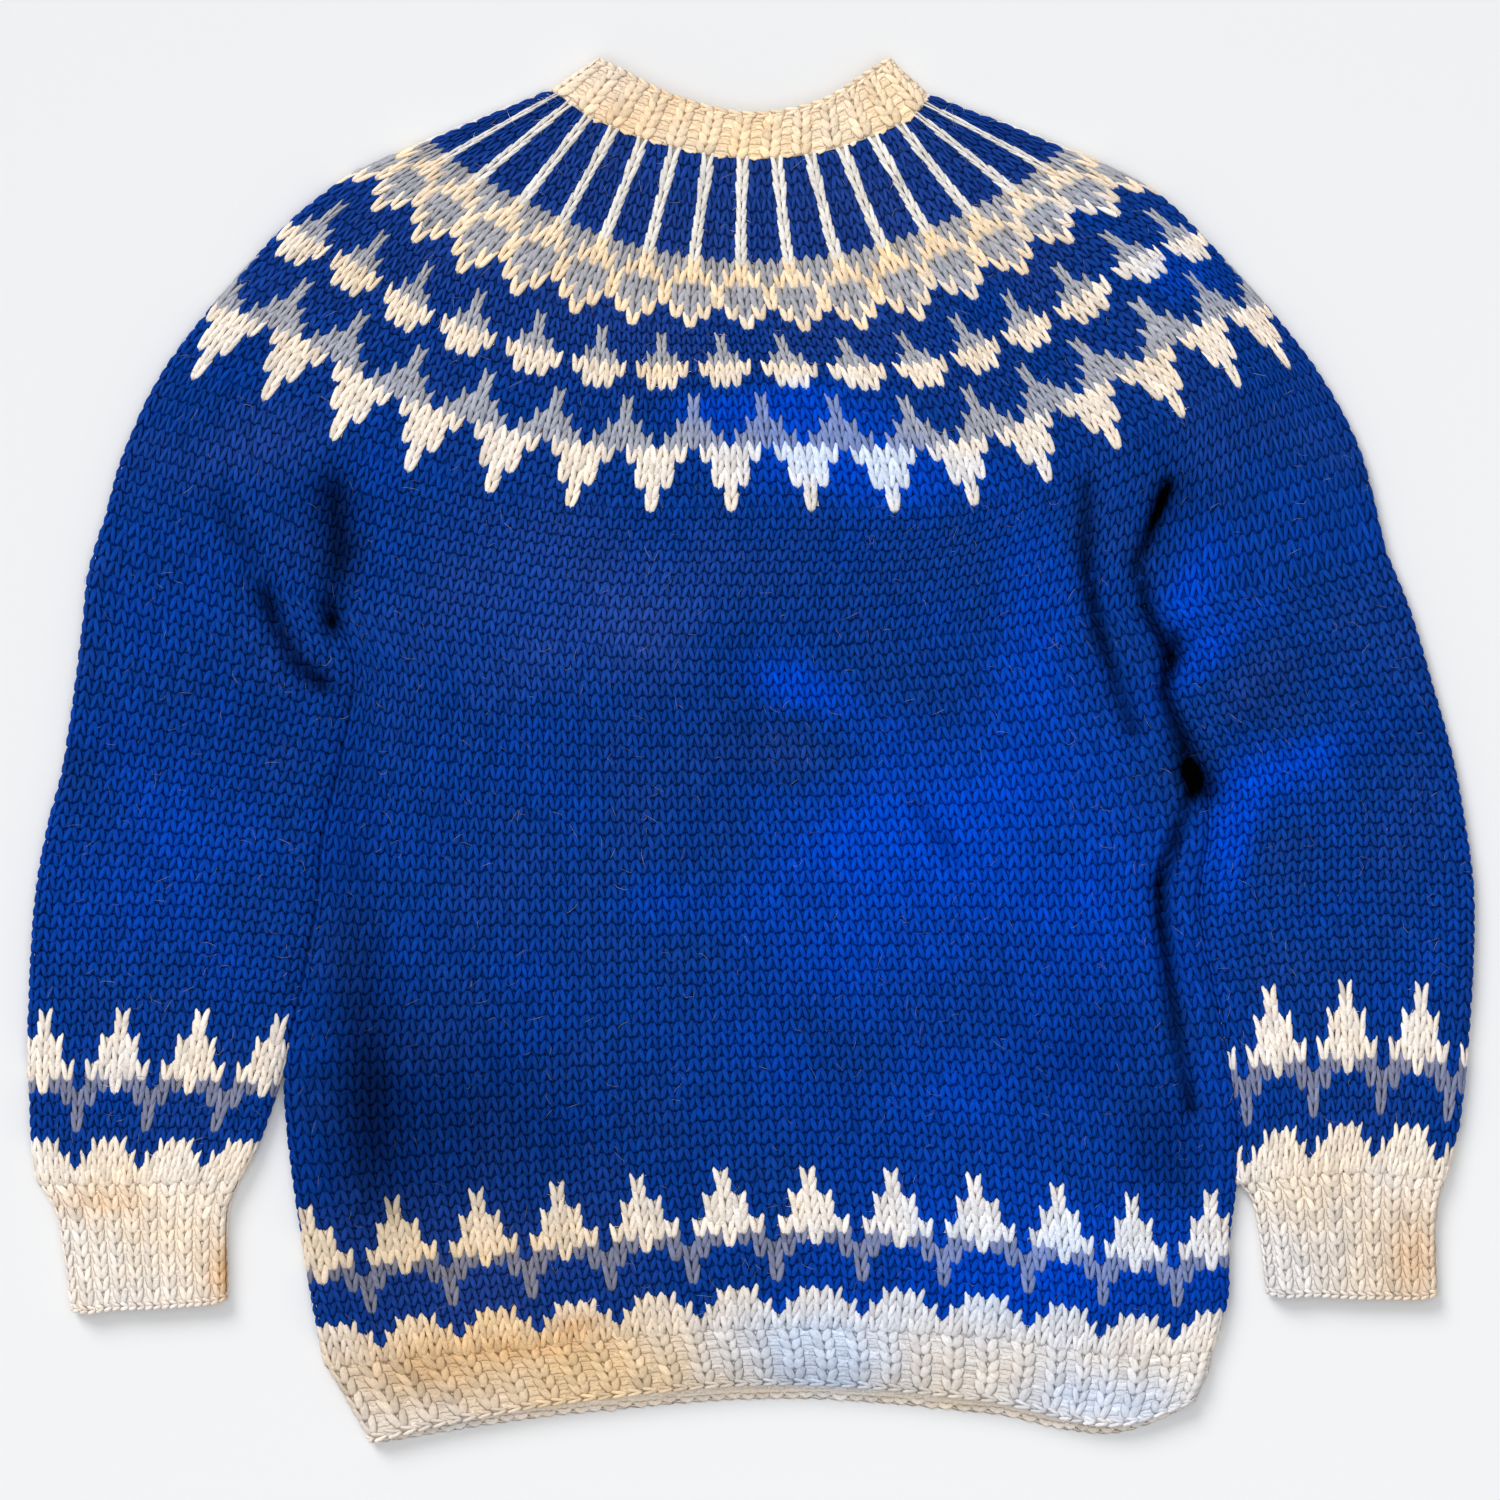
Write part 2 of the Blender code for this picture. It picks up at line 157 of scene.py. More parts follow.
# rounds of the yoke, from the left fold to the right fold; the body hangs on the last one
YOKE_STATIONS = (0.0, 0.09, 0.185, 0.34, 0.5, 0.66, 0.819, 0.91, 1.0)
LEFT_UNDERARM = 0.185
RIGHT_UNDERARM = 0.819
YOKE_ROUNDS = (
    # left fold    sleeve       underarm     chest        centre       chest        underarm
    ((-107, 349), (-99, 345), (-85, 335), (-49, 321), (-4, 313), (40, 317), (79, 331),
     (90, 339), (95, 347)),
    ((-170, 323), (-152, 309), (-120, 291), (-66, 269), (-5, 259), (58, 265), (116, 286),
     (146, 303), (166, 319)),
    ((-214, 303), (-185, 282), (-151, 258), (-78, 233), (-2, 227), (74, 229), (144, 257),
     (177, 280), (212, 297)),
    ((-254, 270), (-213, 248), (-169, 221), (-82, 197), (4, 197), (95, 197), (166, 225),
     (212, 254), (245, 266)),
    ((-309, 204), (-257, 188), (-201, 157), (-97, 131), (11, 129), (120, 132), (214, 171),
     (258, 195), (295, 208)),
    ((-332, 158), (-272, 142), (-213, 116), (-105, 97), (6, 94), (113, 98), (212, 125),
     (266, 144), (322, 161)),
    ((-343, 120), (-280, 97), (-221, 76), (-112, 59), (0, 54), (106, 61), (207, 77),
     (273, 88), (337, 104)),
)

FOLDS = (
    # width height dark  course; the third column is painted shade in the fold
    (9, -1.8, 0.30, ((-282, 130), (-267, 103), (-256, 80))),                # left sleeve head
    (5.5, -4.2, 0.85, ((-258, 82), (-250, 63), (-241, 46), (-226, 34))),    # its deep end
    (11, 2.4, 0.0, ((-262, 121), (-240, 78), (-224, 48))),                  # roll beside it
    (10, -3.2, 0.65, ((-221, 136), (-217, 108), (-222, 80))),               # left armhole
    (5.5, -4.2, 0.97, ((-224, 76), (-221, 62))),                            # its gap
    (16, 1.6, 0.0, ((-196, 104), (-190, 30))),                              # left chest pad
    (5.5, -3.4, 0.82, ((178, 140), (178, 96), (185, 62), (196, 28), (203, 10))),  # right tuck
    (8, 2.4, 0.0, ((193, 116), (198, 62), (209, 28))),                      # roll beside it
    (5, -4.2, 0.90, ((221, 140), (205, 98), (210, 76), (222, 50), (219, 30), (230, 2))),
    (6, -4.2, 0.97, ((225, 58), (223, 44))),                                # right armhole gap
    (16, 2.4, 0.0, ((232, 112), (246, 50))),                                # right underarm pad
    (8, -3.8, 0.80, ((229, 4), (233, -12), (241, -22))),                    # right side hollow
    (5, -4.2, 0.88, ((233, -24), (226, -46), (217, -72), (218, -94), (224, -134), (228, -168),
                     (234, -190))),                                         # right side tuck
    (9, 1.8, 0.0, ((236, -40), (229, -80), (236, -130), (244, -170))),      # right side roll
    (16, 2.0, 0.0, ((206, 8), (196, -40), (200, -130))),                    # right front roll
    (5, -2.0, 0.35, ((89, -32), (109, -60))),                               # waist dent
    (18, 1.5, 0.0, ((132, 5), (80, -36), (26, -69))),                       # waist sweep
    (14, 1.4, 0.0, ((10, 40), (44, 24))),                                   # chest sweep
    (10, -1.0, 0.12, ((0, 66), (-4, -4))),                                  # middle line
    (12, -0.8, 0.12, ((-60, 120), (-90, 90), (-100, 60))),                  # upper chest dent
    (48, 1.3, 0.0, ((-110, 20), (-80, -90))),                               # left front billow
    (46, 1.8, 0.0, ((140, -70), (150, -190))),                              # right front billow
    (34, -0.8, 0.10, ((20, -120), (60, -220))),                             # low front hollow
    (14, -1.8, 0.25, ((-205, -110), (-198, -240))),                         # low left hollow
    (36, 1.9, 0.0, ((-285, 150), (-318, -130))),                            # left sleeve crown
    (34, 1.9, 0.0, ((285, 120), (318, -130))),                              # right sleeve crown
    (10, -1.4, 0.15, ((-384, -10), (-350, -6), (-320, 4))),                 # left elbow crease
    (10, -1.4, 0.15, ((384, 20), (322, -4))),                               # right elbow crease
    (12, -1.6, 0.20, ((262, 8), (292, 40))),                                # right upper arm dent
    (11, 1.6, 0.0, ((262, -70), (268, -30), (300, 6))),                     # right arm sweep
    (46, 1.2, 0.0, ((-120, 215), (120, 215))),                              # yoke crown
)
FOLD_WAVES = 7.0            # a fold swells and fades this many radians along its course
FOLD_SWELL = (0.75, 0.25, 0.12)     # its even part, its fuller middle and those waves
DARKEST = 0.97              # share of the light that one fold can take away
RELIEF_LOW = -4.4
RELIEF_HIGH = 2.6

# one repeat of the band, row by row downwards; the first letter is the middle of a point
BODY_BAND = (
    "wbbbbb",
    "wbbbbb",
    "wwbbbw",
    "wwbbbw",
    "wwwbww",
    "wddbdd",
    "bbdddb",
    "bbbdbb",
    "bbbdbb",
    "bbbbbb",
    "wwbbbw",
    "wwwbww",
    "wwwwww",
)
YARNS = "bwgsd"             # blue, white, grey, silver, dusky grey
BLUE = YARNS.index("b")
WHITE = YARNS.index("w")
GREY = YARNS.index("g")
SILVER = YARNS.index("s")

chance = np.random.default_rng(1957)


def smooth_through(stations, values, t):
    """Values at t of a smooth curve through values that stand at the stations."""
    stations = np.asarray(stations, float)
    values = np.asarray(values, float)
    t = np.asarray(t, float)
    low = np.maximum(np.arange(len(stations)) - 1, 0)
    high = np.minimum(np.arange(len(stations)) + 1, len(stations) - 1)
    slopes = ((values[high] - values[low]).T / (stations[high] - stations[low])).T
    k = np.clip(np.searchsorted(stations, t, side="right") - 1, 0, len(stations) - 2)
    step = stations[k + 1] - stations[k]
    s = (t - stations[k]) / step
    if values.ndim == 2:
        step = step[..., None]
        s = s[..., None]
    start = values[k] * (1 + 2 * s) * (1 - s) ** 2 + slopes[k] * step * s * (1 - s) ** 2
    return start + values[k + 1] * s * s * (3 - 2 * s) + slopes[k + 1] * step * s * s * (s - 1)


def creased(x, y):
    """Height of the front layer over its usual level, and the share of light left there."""
    even, fuller, wavy = FOLD_SWELL
    height = np.zeros(np.shape(x))
    light = np.ones(np.shape(x))
    for number, (width, size, painted_shade, course) in enumerate(FOLDS):
        nearest = np.full(np.shape(x), np.inf)
        way = np.zeros(np.shape(x))
        for k, ((x0, y0), (x1, y1)) in enumerate(zip(course, course[1:])):
            dx = x1 - x0
            dy = y1 - y0
            along = np.clip(((x - x0) * dx + (y - y0) * dy) / (dx * dx + dy * dy), 0, 1)
            off = np.hypot(x - x0 - along * dx, y - y0 - along * dy)
            way = np.where(off < nearest, (k + along) / (len(course) - 1), way)
            nearest = np.minimum(nearest, off)
        waves = np.sin(FOLD_WAVES * way + number)
        swell = even + fuller * np.sin(math.pi * way) + wavy * waves
        near = swell * np.exp(-(nearest / width) ** 2)
        height += size * near
        # painted shade: the colour is darkened along the fold
        light *= 1 - np.minimum(painted_shade * near, DARKEST)
    return np.clip(height, RELIEF_LOW, RELIEF_HIGH), light


def unit(vectors):
    """The same directions at length 1."""
    return vectors / np.maximum(np.linalg.norm(vectors, axis=-1, keepdims=True), 1e-9)


class Cloth:
    """A flattened knitted tube.  Places on it are a share of the way round, from the left
    fold over the front and back underneath, and a count of rows down from its upper end."""

    SAMPLES = 480
    LINES_A_ROW = 2

    def __init__(self, lines, insets=(0.0, 0.0), back_drop=0.0):
        self.rows = (len(lines) - 1) / self.LINES_A_ROW
        rings = []
        for k, line in enumerate(lines):
            drop = back_drop * k / (len(lines) - 1)
            rings.append(self.ring(line, insets, drop))
        self.points = np.array(rings)
        around = np.roll(self.points, -1, axis=1) - np.roll(self.points, 1, axis=1)
        down = np.gradient(self.points, axis=0)
        self.outward = unit(np.cross(down, around))

    def ring(self, line, insets, drop):
        width = np.hypot(*np.diff(line, axis=0).T).sum()
        along = np.linspace(0.0, width, len(line))
        first, last = [(REST_HEIGHT + float(creased(*line[end])[0])) / 2 for end in (0, -1)]
        quarter = math.pi / 2
        flat = width - sum(insets) - first - last
        arc = flat + (first + last) * quarter
        half = self.SAMPLES // 2
        halves = []
        for side, place in ((1, np.arange(half)), (-1, np.arange(half, 0, -1))):
            place = place / half * arc
            turn = np.minimum(np.minimum(place / first, (arc - place) / last), quarter)
            left = insets[0] + first * (1 - np.cos(place / first))
            right = width - insets[1] - last * (1 - np.cos((arc - place) / last))
            level = insets[0] + first + place - first * quarter
            from_fold = np.where(place < first * quarter, left,
                                 np.where(arc - place < last * quarter, right, level))
            x = np.interp(from_fold, along, line[:, 0])
            y = np.interp(from_fold, along, line[:, 1])
            radius = np.where(place < arc / 2, first, last)
            top = REST_HEIGHT + creased(x, y)[0]
            up = side * np.sin(turn)
            z = np.where(up > 0, radius + up * (top - radius), radius * (1 + up))
            middle = np.clip(np.sin(np.pi * from_fold / width), 0.0, 1.0) ** 0.5
            y = y - drop * middle * (1 - up) / 2
            halves.append(np.stack([x, y, z], axis=1))
        return np.concatenate(halves)

    def at(self, around, down):
        """Points and outward directions at shares round the tube and rows down it."""
        i = (np.asarray(around) % 1.0) * self.SAMPLES
        j = np.asarray(down) * self.LINES_A_ROW
        i0 = np.floor(i).astype(int) % self.SAMPLES
        i1 = (i0 + 1) % self.SAMPLES
        j0 = np.clip(np.floor(j).astype(int), 0, len(self.points) - 2)
        fi = (i - np.floor(i))[..., None]
        fj = (j - j0)[..., None]
        found = []
        for grid in (self.points, self.outward):
            upper = grid[j0, i0] * (1 - fi) + grid[j0, i1] * fi
            lower = grid[j0 + 1, i0] * (1 - fi) + grid[j0 + 1, i1] * fi
            found.append(upper * (1 - fj) + lower * fj)
        return found[0], unit(found[1])


# painted light and shade: lighter, cooler patches where the light falls on the cloth, and duller,
# warmer ones where less of it falls
PAINTED_LIGHT_PATCHES = (
    # x    y    long wide turn cast; painted light above 0, painted shade below 0
    (95, -55, 100, 50, 35, 0.9),
    (60, -48, 40, 16, 15, 0.5),
    (26, 32, 30, 12, -22, 1.1),
    (185, -95, 45, 50, 0, 0.8),
    (120, -190, 90, 40, 0, 0.5),
    (150, 70, 26, 60, 0, 0.6),
    (90, 145, 40, 16, 0, 0.8),
    (-37, -82, 30, 14, 0, 0.5),
    (26, -6, 28, 14, 0, -0.4),
    (-101, 85, 80, 46, 0, -0.5),
    (-60, 55, 34, 30, 0, -0.35),
    (-318, -55, 55, 55, 0, 0.4),
    (-255, 165, 36, 16, 10, -0.5),
    (233, 84, 14, 30, -20, 1.2),
    (243, 52, 34, 10, 42, 0.8),
    (291, -8, 38, 14, 25, 1.1),
    (256, -45, 12, 34, -10, 1.1),
    (265, 33, 34, 16, 25, -0.3),
    (21, 182, 30, 12, 0, 1.6),
    (-27, 180, 22, 10, 0, 0.9),
    (177, 286, 30, 14, 0, 0.7),
    (124, 238, 20, 14, 0, 0.6),
    (220, 254, 26, 16, 0, 0.7),
    (0, 285, 240, 80, 0, -0.85),
    (35, 160, 44, 22, 0, 1.3),
    (160, -280, 110, 40, 0, 0.9),
    (-150, -275, 80, 40, 0, -0.8),
    (30, -322, 40, 26, 0, 1.3),
    (-290, 95, 30, 26, 0, 0.3),
    (180, -345, 48, 16, 0, 1.0),
    (-110, -330, 90, 26, 0, -0.8),
    (-330, -250, 60, 50, 0, -0.1),
    (330, -250, 60, 50, 0, -0.15),
)
PAINTED_SHADE_PATCHES = (
    # x    y    long wide turn depth; painted shade, and painted light below 0 where the cloth is lit
    (-85, 75, 70, 40, 0, -0.24),
    (-255, 165, 36, 16, 10, -0.15),
    (95, -55, 90, 50, 35, -0.05),
    (-207, -200, 40, 90, 0, 0.34),
    (-212, -60, 14, 90, 0, 0.22),
    (-150, -190, 60, 50, 0, 0.28),
    (-110, -225, 110, 60, 0, 0.16),
    (150, -120, 70, 90, 0, 0.09),
    (-20, 20, 60, 50, 0, 0.07),
    (20, -338, 240, 26, 0, 0.24),
    (10, -336, 80, 22, 0, 0.1),
    (-190, -340, 60, 26, 0, 0.14),
    (20, -296, 250, 22, 0, 0.12),
    (322, -262, 60, 40, 0, 0.17),
    (-325, -262, 60, 40, 0, 0.03),
    (45, -312, 26, 16, 0, -0.06),
    (220, -212, 22, 28, 0, 0.42),
    (177, -163, 26, 18, 20, 0.30),
    (-223, 128, 18, 28, 0, 0.30),
    (222, 132, 16, 26, 0, 0.35),
    (237, -16, 13, 14, 0, 0.45),
    (-260, 20, 40, 26, 0, 0.12),
)
STAINS = (
    # x    y    long wide turn depth
    (-272, -278, 14, 16, 0, 1.0),
    (-345, -240, 26, 8, 0, 0.4),
    (352, -270, 16, 22, 0, 0.5),
    (-92, -306, 16, 7, 10, 0.5),
    (-120, -318, 40, 7, 0, 0.4),
    (-170, -330, 24, 12, 0, 0.3),
    (-60, 340, 40, 18, 0, 0.2),
    (-150, -320, 90, 30, 0, 0.22),
)


def patchy(table, x, y):
    """Sum of soft oval patches at points."""
    total = np.zeros(np.shape(x))
    for x0, y0, long, wide, turn, depth in table:
        c = math.cos(math.radians(turn))
        s = math.sin(math.radians(turn))
        u = ((x - x0) * c + (y - y0) * s) / long
        v = ((y - y0) * c - (x - x0) * s) / wide
        total += depth * np.exp(-(u * u + v * v))
    return total


class Wire:
    """A socket of a material's nodes; arithmetic on it adds Math nodes."""

    COLOUR_A, COLOUR_B, COLOUR_OUT = (6, 7, 2)      # the colour sockets of a Mix node

    def __init__(self, socket):
        self.socket = socket

    def node(self, kind, settings, links, output=0):
        """Any node: its settings come first, then the values or links of its sockets."""
        tree = self.socket.id_data
        made = tree.nodes.new(kind)
        for name, value in settings.items():
            setattr(made, name, value)
        for name, value in links.items():
            if isinstance(value, Wire):
                tree.links.new(value.socket, made.inputs[name])
            else:
                made.inputs[name].default_value = value
        return Wire(made.outputs[output])

    def math(self, operation, first, second):
        return self.node("ShaderNodeMath", {"operation": operation}, {0: first, 1: second})

    def __add__(self, other):
        return self.math("ADD", self, other)

    def __sub__(self, other):
        return self.math("SUBTRACT", self, other)

    def __rsub__(self, other):
        return self.math("SUBTRACT", other, self)

    def __mul__(self, other):
        return self.math("MULTIPLY", self, other)

    __radd__ = __add__
    __rmul__ = __mul__

    def blend(self, first, second):
        """Colour between two colours, by this value from 0 to 1."""
        settings = {"data_type": "RGBA", "clamp_factor": True}
        links = {0: self, self.COLOUR_A: first, self.COLOUR_B: second}
        return self.node("ShaderNodeMix", settings, links, self.COLOUR_OUT)

    def dimmed(self, strength):
        """This colour times a value."""
        grey = self.node("ShaderNodeCombineColor", {}, {0: strength, 1: strength, 2: strength})
        settings = {"data_type": "RGBA", "blend_type": "MULTIPLY"}
        links = {0: 1.0, self.COLOUR_A: self, self.COLOUR_B: grey}
        return self.node("ShaderNodeMix", settings, links, self.COLOUR_OUT)


def rgb(red, green, blue):
    """Linear colour of the usual 0 to 255 numbers."""
    return (*[(c / 255) ** 2.2 for c in (red, green, blue)], 1.0)


# the yarn's colour three times: in painted shade, duller and warmer; as it mostly is; and in
# painted light, brighter and cooler
DYES_LIT_AND_SHADED = {
    "b": (rgb(42, 70, 142), rgb(19, 63, 145), rgb(6, 74, 200)),
    "w": (rgb(255, 221, 171), rgb(244, 232, 219), rgb(216, 227, 246)),
    "g": (rgb(174, 171, 173), rgb(168, 171, 183), rgb(128, 146, 198)),
    "s": (rgb(238, 231, 221), rgb(229, 226, 225), rgb(210, 219, 240)),
    "d": (rgb(134, 131, 142), rgb(126, 130, 156), rgb(122, 140, 192)),
}
STAIN = rgb(226, 168, 96)
SKIN_SHADES = {"b": 0.9, "w": 1.0, "g": 0.85, "s": 0.8, "d": 0.85}    # in the yarn's shadow
HEATHER_SCALE = 620.0       # fine flecks all through the wool
CLOUD_SCALE = 22.0          # broad drifts of warmer and cooler colour
CLOUDY = 1.3
FIBRE_SCALE = 2.0
FIBRE_STRETCH = (2.2, 7.0, 1.0)     # fibres lie along their strand
MOTTLE = (0.55, 0.64, 0.26)         # how much of the colour is even, in flecks, in fibres
FUZZ = 0.55                 # how strongly the fuzz on a strand shows
FUZZ_HEIGHT = 0.0005        # metres
FLECKS_IN_FUZZ = 0.6
ROUGHNESS = (0.8, 0.2)      # its even part, and what the flecks add
GLEAM = 0.02


def wool(letter, part):
    """Fuzzy unspun wool in one dye, for the yarn on top or for the skin in its shade."""
    in_painted_shade, usual, in_painted_light = DYES_LIT_AND_SHADED[letter]
    material = bpy.data.materials.new(f"{letter}_{part}")
    material.use_nodes = True
    tree = material.node_tree
    shader = tree.nodes["Principled BSDF"]
    start = Wire(shader.outputs[0])

    def stored(name):
        return start.node("ShaderNodeAttribute", {"attribute_name": name}, {}, "Fac")

    def noise(**links):
        return start.node("ShaderNodeTexNoise", {"noise_dimensions": "3D"}, links)

    painted_lighting = stored("painted_lighting")
    shade = stored("shade")
    stain = stored("stain")
    where = start.node("ShaderNodeTexCoord", {}, {}, "Object")
    lie = start.node("ShaderNodeTexCoord", {}, {}, "UV")
    along = start.node("ShaderNodeMapping", {}, {"Vector": lie, "Scale": FIBRE_STRETCH})
    heather = noise(Vector=where, Scale=HEATHER_SCALE, Detail=3.0, Roughness=0.6)
    cloud = noise(Vector=where, Scale=CLOUD_SCALE, Detail=4.0, Roughness=0.55)
    fibre = noise(Vector=along, Scale=FIBRE_SCALE, Detail=3.0, Distortion=0.6)
    # painted light and shade: the stored value blends the yarn from its shaded tone through its
    # usual one to its lit one, with broad random drifts added
    lighting_and_drift = painted_lighting + (cloud - 0.5) * CLOUDY
    lower = (lighting_and_drift + 1.0).blend(in_painted_shade, usual)
    colour = lighting_and_drift.blend(lower, in_painted_light)
    if letter in "ws":
        colour = stain.blend(colour, STAIN)
    even, in_flecks, in_fibres = MOTTLE
    strength = shade * (SKIN_SHADES[letter] if part == "skin" else 1.0)
    strength = strength * (even + heather * in_flecks + fibre * in_fibres)
    tree.links.new(colour.dimmed(strength).socket, shader.inputs["Base Color"])
    height = heather * FLECKS_IN_FUZZ + fibre
    bump = start.node("ShaderNodeBump", {},
                      {"Strength": FUZZ, "Distance": FUZZ_HEIGHT, "Height": height})
    tree.links.new(bump.socket, shader.inputs["Normal"])
    rough = ROUGHNESS[0] + heather * ROUGHNESS[1]
    tree.links.new(rough.socket, shader.inputs["Roughness"])
    shader.inputs["Specular IOR Level"].default_value = GLEAM
    return material


WOOLS = {part: [wool(letter, part) for letter in YARNS] for part in ("yarn", "skin")}


def make_mesh(name, points, corners, sizes, yarns, part, shades, coords=None):
    """Mesh from flat arrays: corners of all faces, corners a face, and a yarn a face."""
    mesh = bpy.data.meshes.new(name)
    mesh.vertices.add(len(points))
    mesh.vertices.foreach_set("co", (points * MM).astype(np.float32).ravel())
    mesh.loops.add(len(corners))
    mesh.loops.foreach_set("vertex_index", corners.astype(np.int32))
    mesh.polygons.add(len(sizes))
    starts = np.concatenate([[0], np.cumsum(sizes)[:-1]])
    mesh.polygons.foreach_set("loop_start", starts.astype(np.int32))
    for material in WOOLS[part]:
        mesh.materials.append(material)
    mesh.polygons.foreach_set("material_index", yarns.astype(np.int32))
    mesh.update(calc_edges=True)
    mesh.shade_smooth()
    if coords is not None:
        layer = mesh.uv_layers.new(name="lie")
        layer.uv.foreach_set("vector", coords.astype(np.float32).ravel())
    front = points[:, 2] > FRONT_FROM
    # painted shade and light on the front layer: folds and shade patches darken the colour, lit
    # patches brighten it
    lit = creased(points[:, 0], points[:, 1])[1] - patchy(PAINTED_SHADE_PATCHES, points[:, 0], points[:, 1])
    kept = {
        "painted_lighting": patchy(PAINTED_LIGHT_PATCHES, points[:, 0], points[:, 1]) * front,
        "stain": np.clip(patchy(STAINS, points[:, 0], points[:, 1]), 0, 1) * front,
        "shade": shades * np.where(front, lit, 1.0),
    }
    for key, values in kept.items():
        stored = mesh.attributes.new(key, "FLOAT", "POINT")
        stored.data.foreach_set("value", values.astype(np.float32))
    piece = put_in_scene(name, mesh)
    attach(piece, "root")
    return piece


SNUG_OVER = 0.025           # share of the way round, to either side of a fold
LOOKS_BESIDE = 0.3          # a cell's yarn is looked up this far to either side, in cells
RIM = 0.1                   # and a rim's yarn this far from the tube's end, in rows


def skin(name, cloth, columns, rows, yarn_at, sink=STITCH_SINK, snug_by=SNUG):
    """Thin closed cloth under the stitches, open at both ends of the tube."""
    around = (np.arange(columns) + 0.5) / columns
    down = np.linspace(0, cloth.rows, rows + 1)
    share, row = np.meshgrid(around, down)
    points, outward = cloth.at(share, row)
    off_fold = np.minimum(share % 0.5, -share % 0.5)
    snug = snug_by * np.exp(-(off_fold / SNUG_OVER) ** 2)[..., None]
    layers = [points - outward * (depth - snug) for depth in (sink, sink + SKIN)]
    outer, inner = [layer.reshape(-1, 3) for layer in layers]
    grid = np.arange((rows + 1) * columns).reshape(rows + 1, columns)
    near = np.roll(grid, -1, axis=1)

    def band(first, first_next, second, second_next):
        return np.stack([first, first_next, second_next, second], axis=-1).reshape(-1, 4)

    count = len(outer)
    faces = np.concatenate([
        band(grid[1:], near[1:], grid[:-1], near[:-1]),
        band(grid[:-1], near[:-1], grid[1:], near[1:]) + count,
        band(grid[0], near[0], grid[0] + count, near[0] + count),
        band(grid[-1] + count, near[-1] + count, grid[-1], near[-1]),
    ])
    middle_share = (around + 0.5 / columns) % 1.0
    middle_row = (down[1:] + down[:-1]) / 2
    share, row = np.meshgrid(middle_share, middle_row)
    beside = [yarn_at((share + off / columns) % 1.0, row)
              for off in (-LOOKS_BESIDE, LOOKS_BESIDE)]
    yarns = np.minimum(*beside).ravel()     # where yarns meet, blue lies underneath
    ends = [yarn_at(middle_share, np.full(columns, row)) for row in (RIM, cloth.rows - RIM)]
    yarns = np.concatenate([yarns, yarns, *ends])
    points = np.concatenate([outer, inner])
    return make_mesh(name, points, faces.ravel(), np.full(len(faces), 4), yarns, "skin",
                     np.ones(len(points)))


FIBRES_A_METRE = 4500       # loose fibres on a square metre of cloth
FIBRE_LENGTH = (4.0, 14.0)
FIBRE_LIFT = (1.0, 2.0)
FIBRE_RADIUS = 0.08
FIBRE_CURL = 0.8
FIBRE_ARCH = 3.2            # its ends bend down by a quarter of this
FIBRE_POINTS = (-0.5, -0.17, 0.17, 0.5)     # shares of its length, from its middle
FIBRES_ROUND = (-0.03, 0.53)        # shares of the way round: the front and both folds
FIBRES_FROM_END = 0.3       # rows
FIBRE_TINTS = (1.0, 1.7)
STRAY_PALE = 0.3            # share of them that came off the pale yarns
STRAY_TINTS = (0.4, 1.1)
STRAND_UNEVEN = 0.08        # some strands are lighter than others
GRAIN_LENGTH = 50           # each strand shows its own stretch of the fibres' grain

TOP_SECTION = ((-1.0, -0.45), (1.0, -0.45), (0.6, 0.72), (-0.6, 0.72))
UNDER_SECTION = ((-1.0, -0.5), (1.0, -0.5), (0.0, 0.9))


def strands(name, cloth, around, down, lift, wide, tall, yarns, tone_and_shade, section=TOP_SECTION,
            face=1):
    """Closed tapering strands of yarn on the cloth.  Each array is strand by point: where
    the point is, its height over the cloth, and half the strand's width and height.
    Face is -1 for strands on the inside of the tube."""
    centre, outward = cloth.at(around, down)
    outward = outward * face
    centre = centre + outward * lift[..., None]
    along = unit(np.gradient(centre, axis=1))
    side = unit(np.cross(outward, along))
    count, steps = around.shape
    sides = len(section)
    rings = [centre[:, None, 0]]
    for k in range(1, steps - 1):
        corners = [centre[:, k] + side[:, k] * wide[:, k, None] * across
                   + outward[:, k] * tall[:, k, None] * up for across, up in section]
        rings.append(np.stack(corners, axis=1))
    rings.append(centre[:, None, -1])
    points = np.concatenate(rings, axis=1)
    points[..., 2] = np.maximum(points[..., 2], LIES_ON)
    size = points.shape[1]

    corners = []
    sizes = []
    places = []
    for k in range(steps - 1):
        for i in range(sides):
            n = (i + 1) % sides
            here = 1 + (k - 1) * sides
            there = here + sides
            u = (k / (steps - 1), (k + 1) / (steps - 1))
            v = (i / sides, (i + 1) / sides)
            if k == 0:
                corners += [0, there + n, there + i]
                places += [(u[0], v[0]), (u[1], v[1]), (u[1], v[0])]
                sizes.append(3)
            elif k == steps - 2:
                corners += [here + i, here + n, there]
                places += [(u[0], v[0]), (u[0], v[1]), (u[1], v[0])]
                sizes.append(3)
            else:
                corners += [here + i, here + n, there + n, there + i]
                places += [(u[0], v[0]), (u[0], v[1]), (u[1], v[1]), (u[1], v[0])]
                sizes.append(4)
    offsets = np.arange(count)[:, None] * size
    all_corners = (np.array(corners)[None] + offsets).ravel()
    all_sizes = np.tile(sizes, count)
    all_places = np.tile(np.array(places), (count, 1))
    all_places[:, 0] += np.repeat(chance.random(count) * GRAIN_LENGTH, len(places))
    # each point's painted shade and tone, times the strand's random unevenness
    tones_and_shades = np.concatenate([tone_and_shade[:, :1], np.repeat(tone_and_shade[:, 1:-1], sides, axis=1), tone_and_shade[:, -1:]],
                           axis=1)
    shades = (chance.normal(1.0, STRAND_UNEVEN, count)[:, None] * tones_and_shades).ravel()
    return make_mesh(name, points.reshape(-1, 3), all_corners, all_sizes,
                     np.repeat(yarns, len(sizes)), "yarn", shades, all_places)


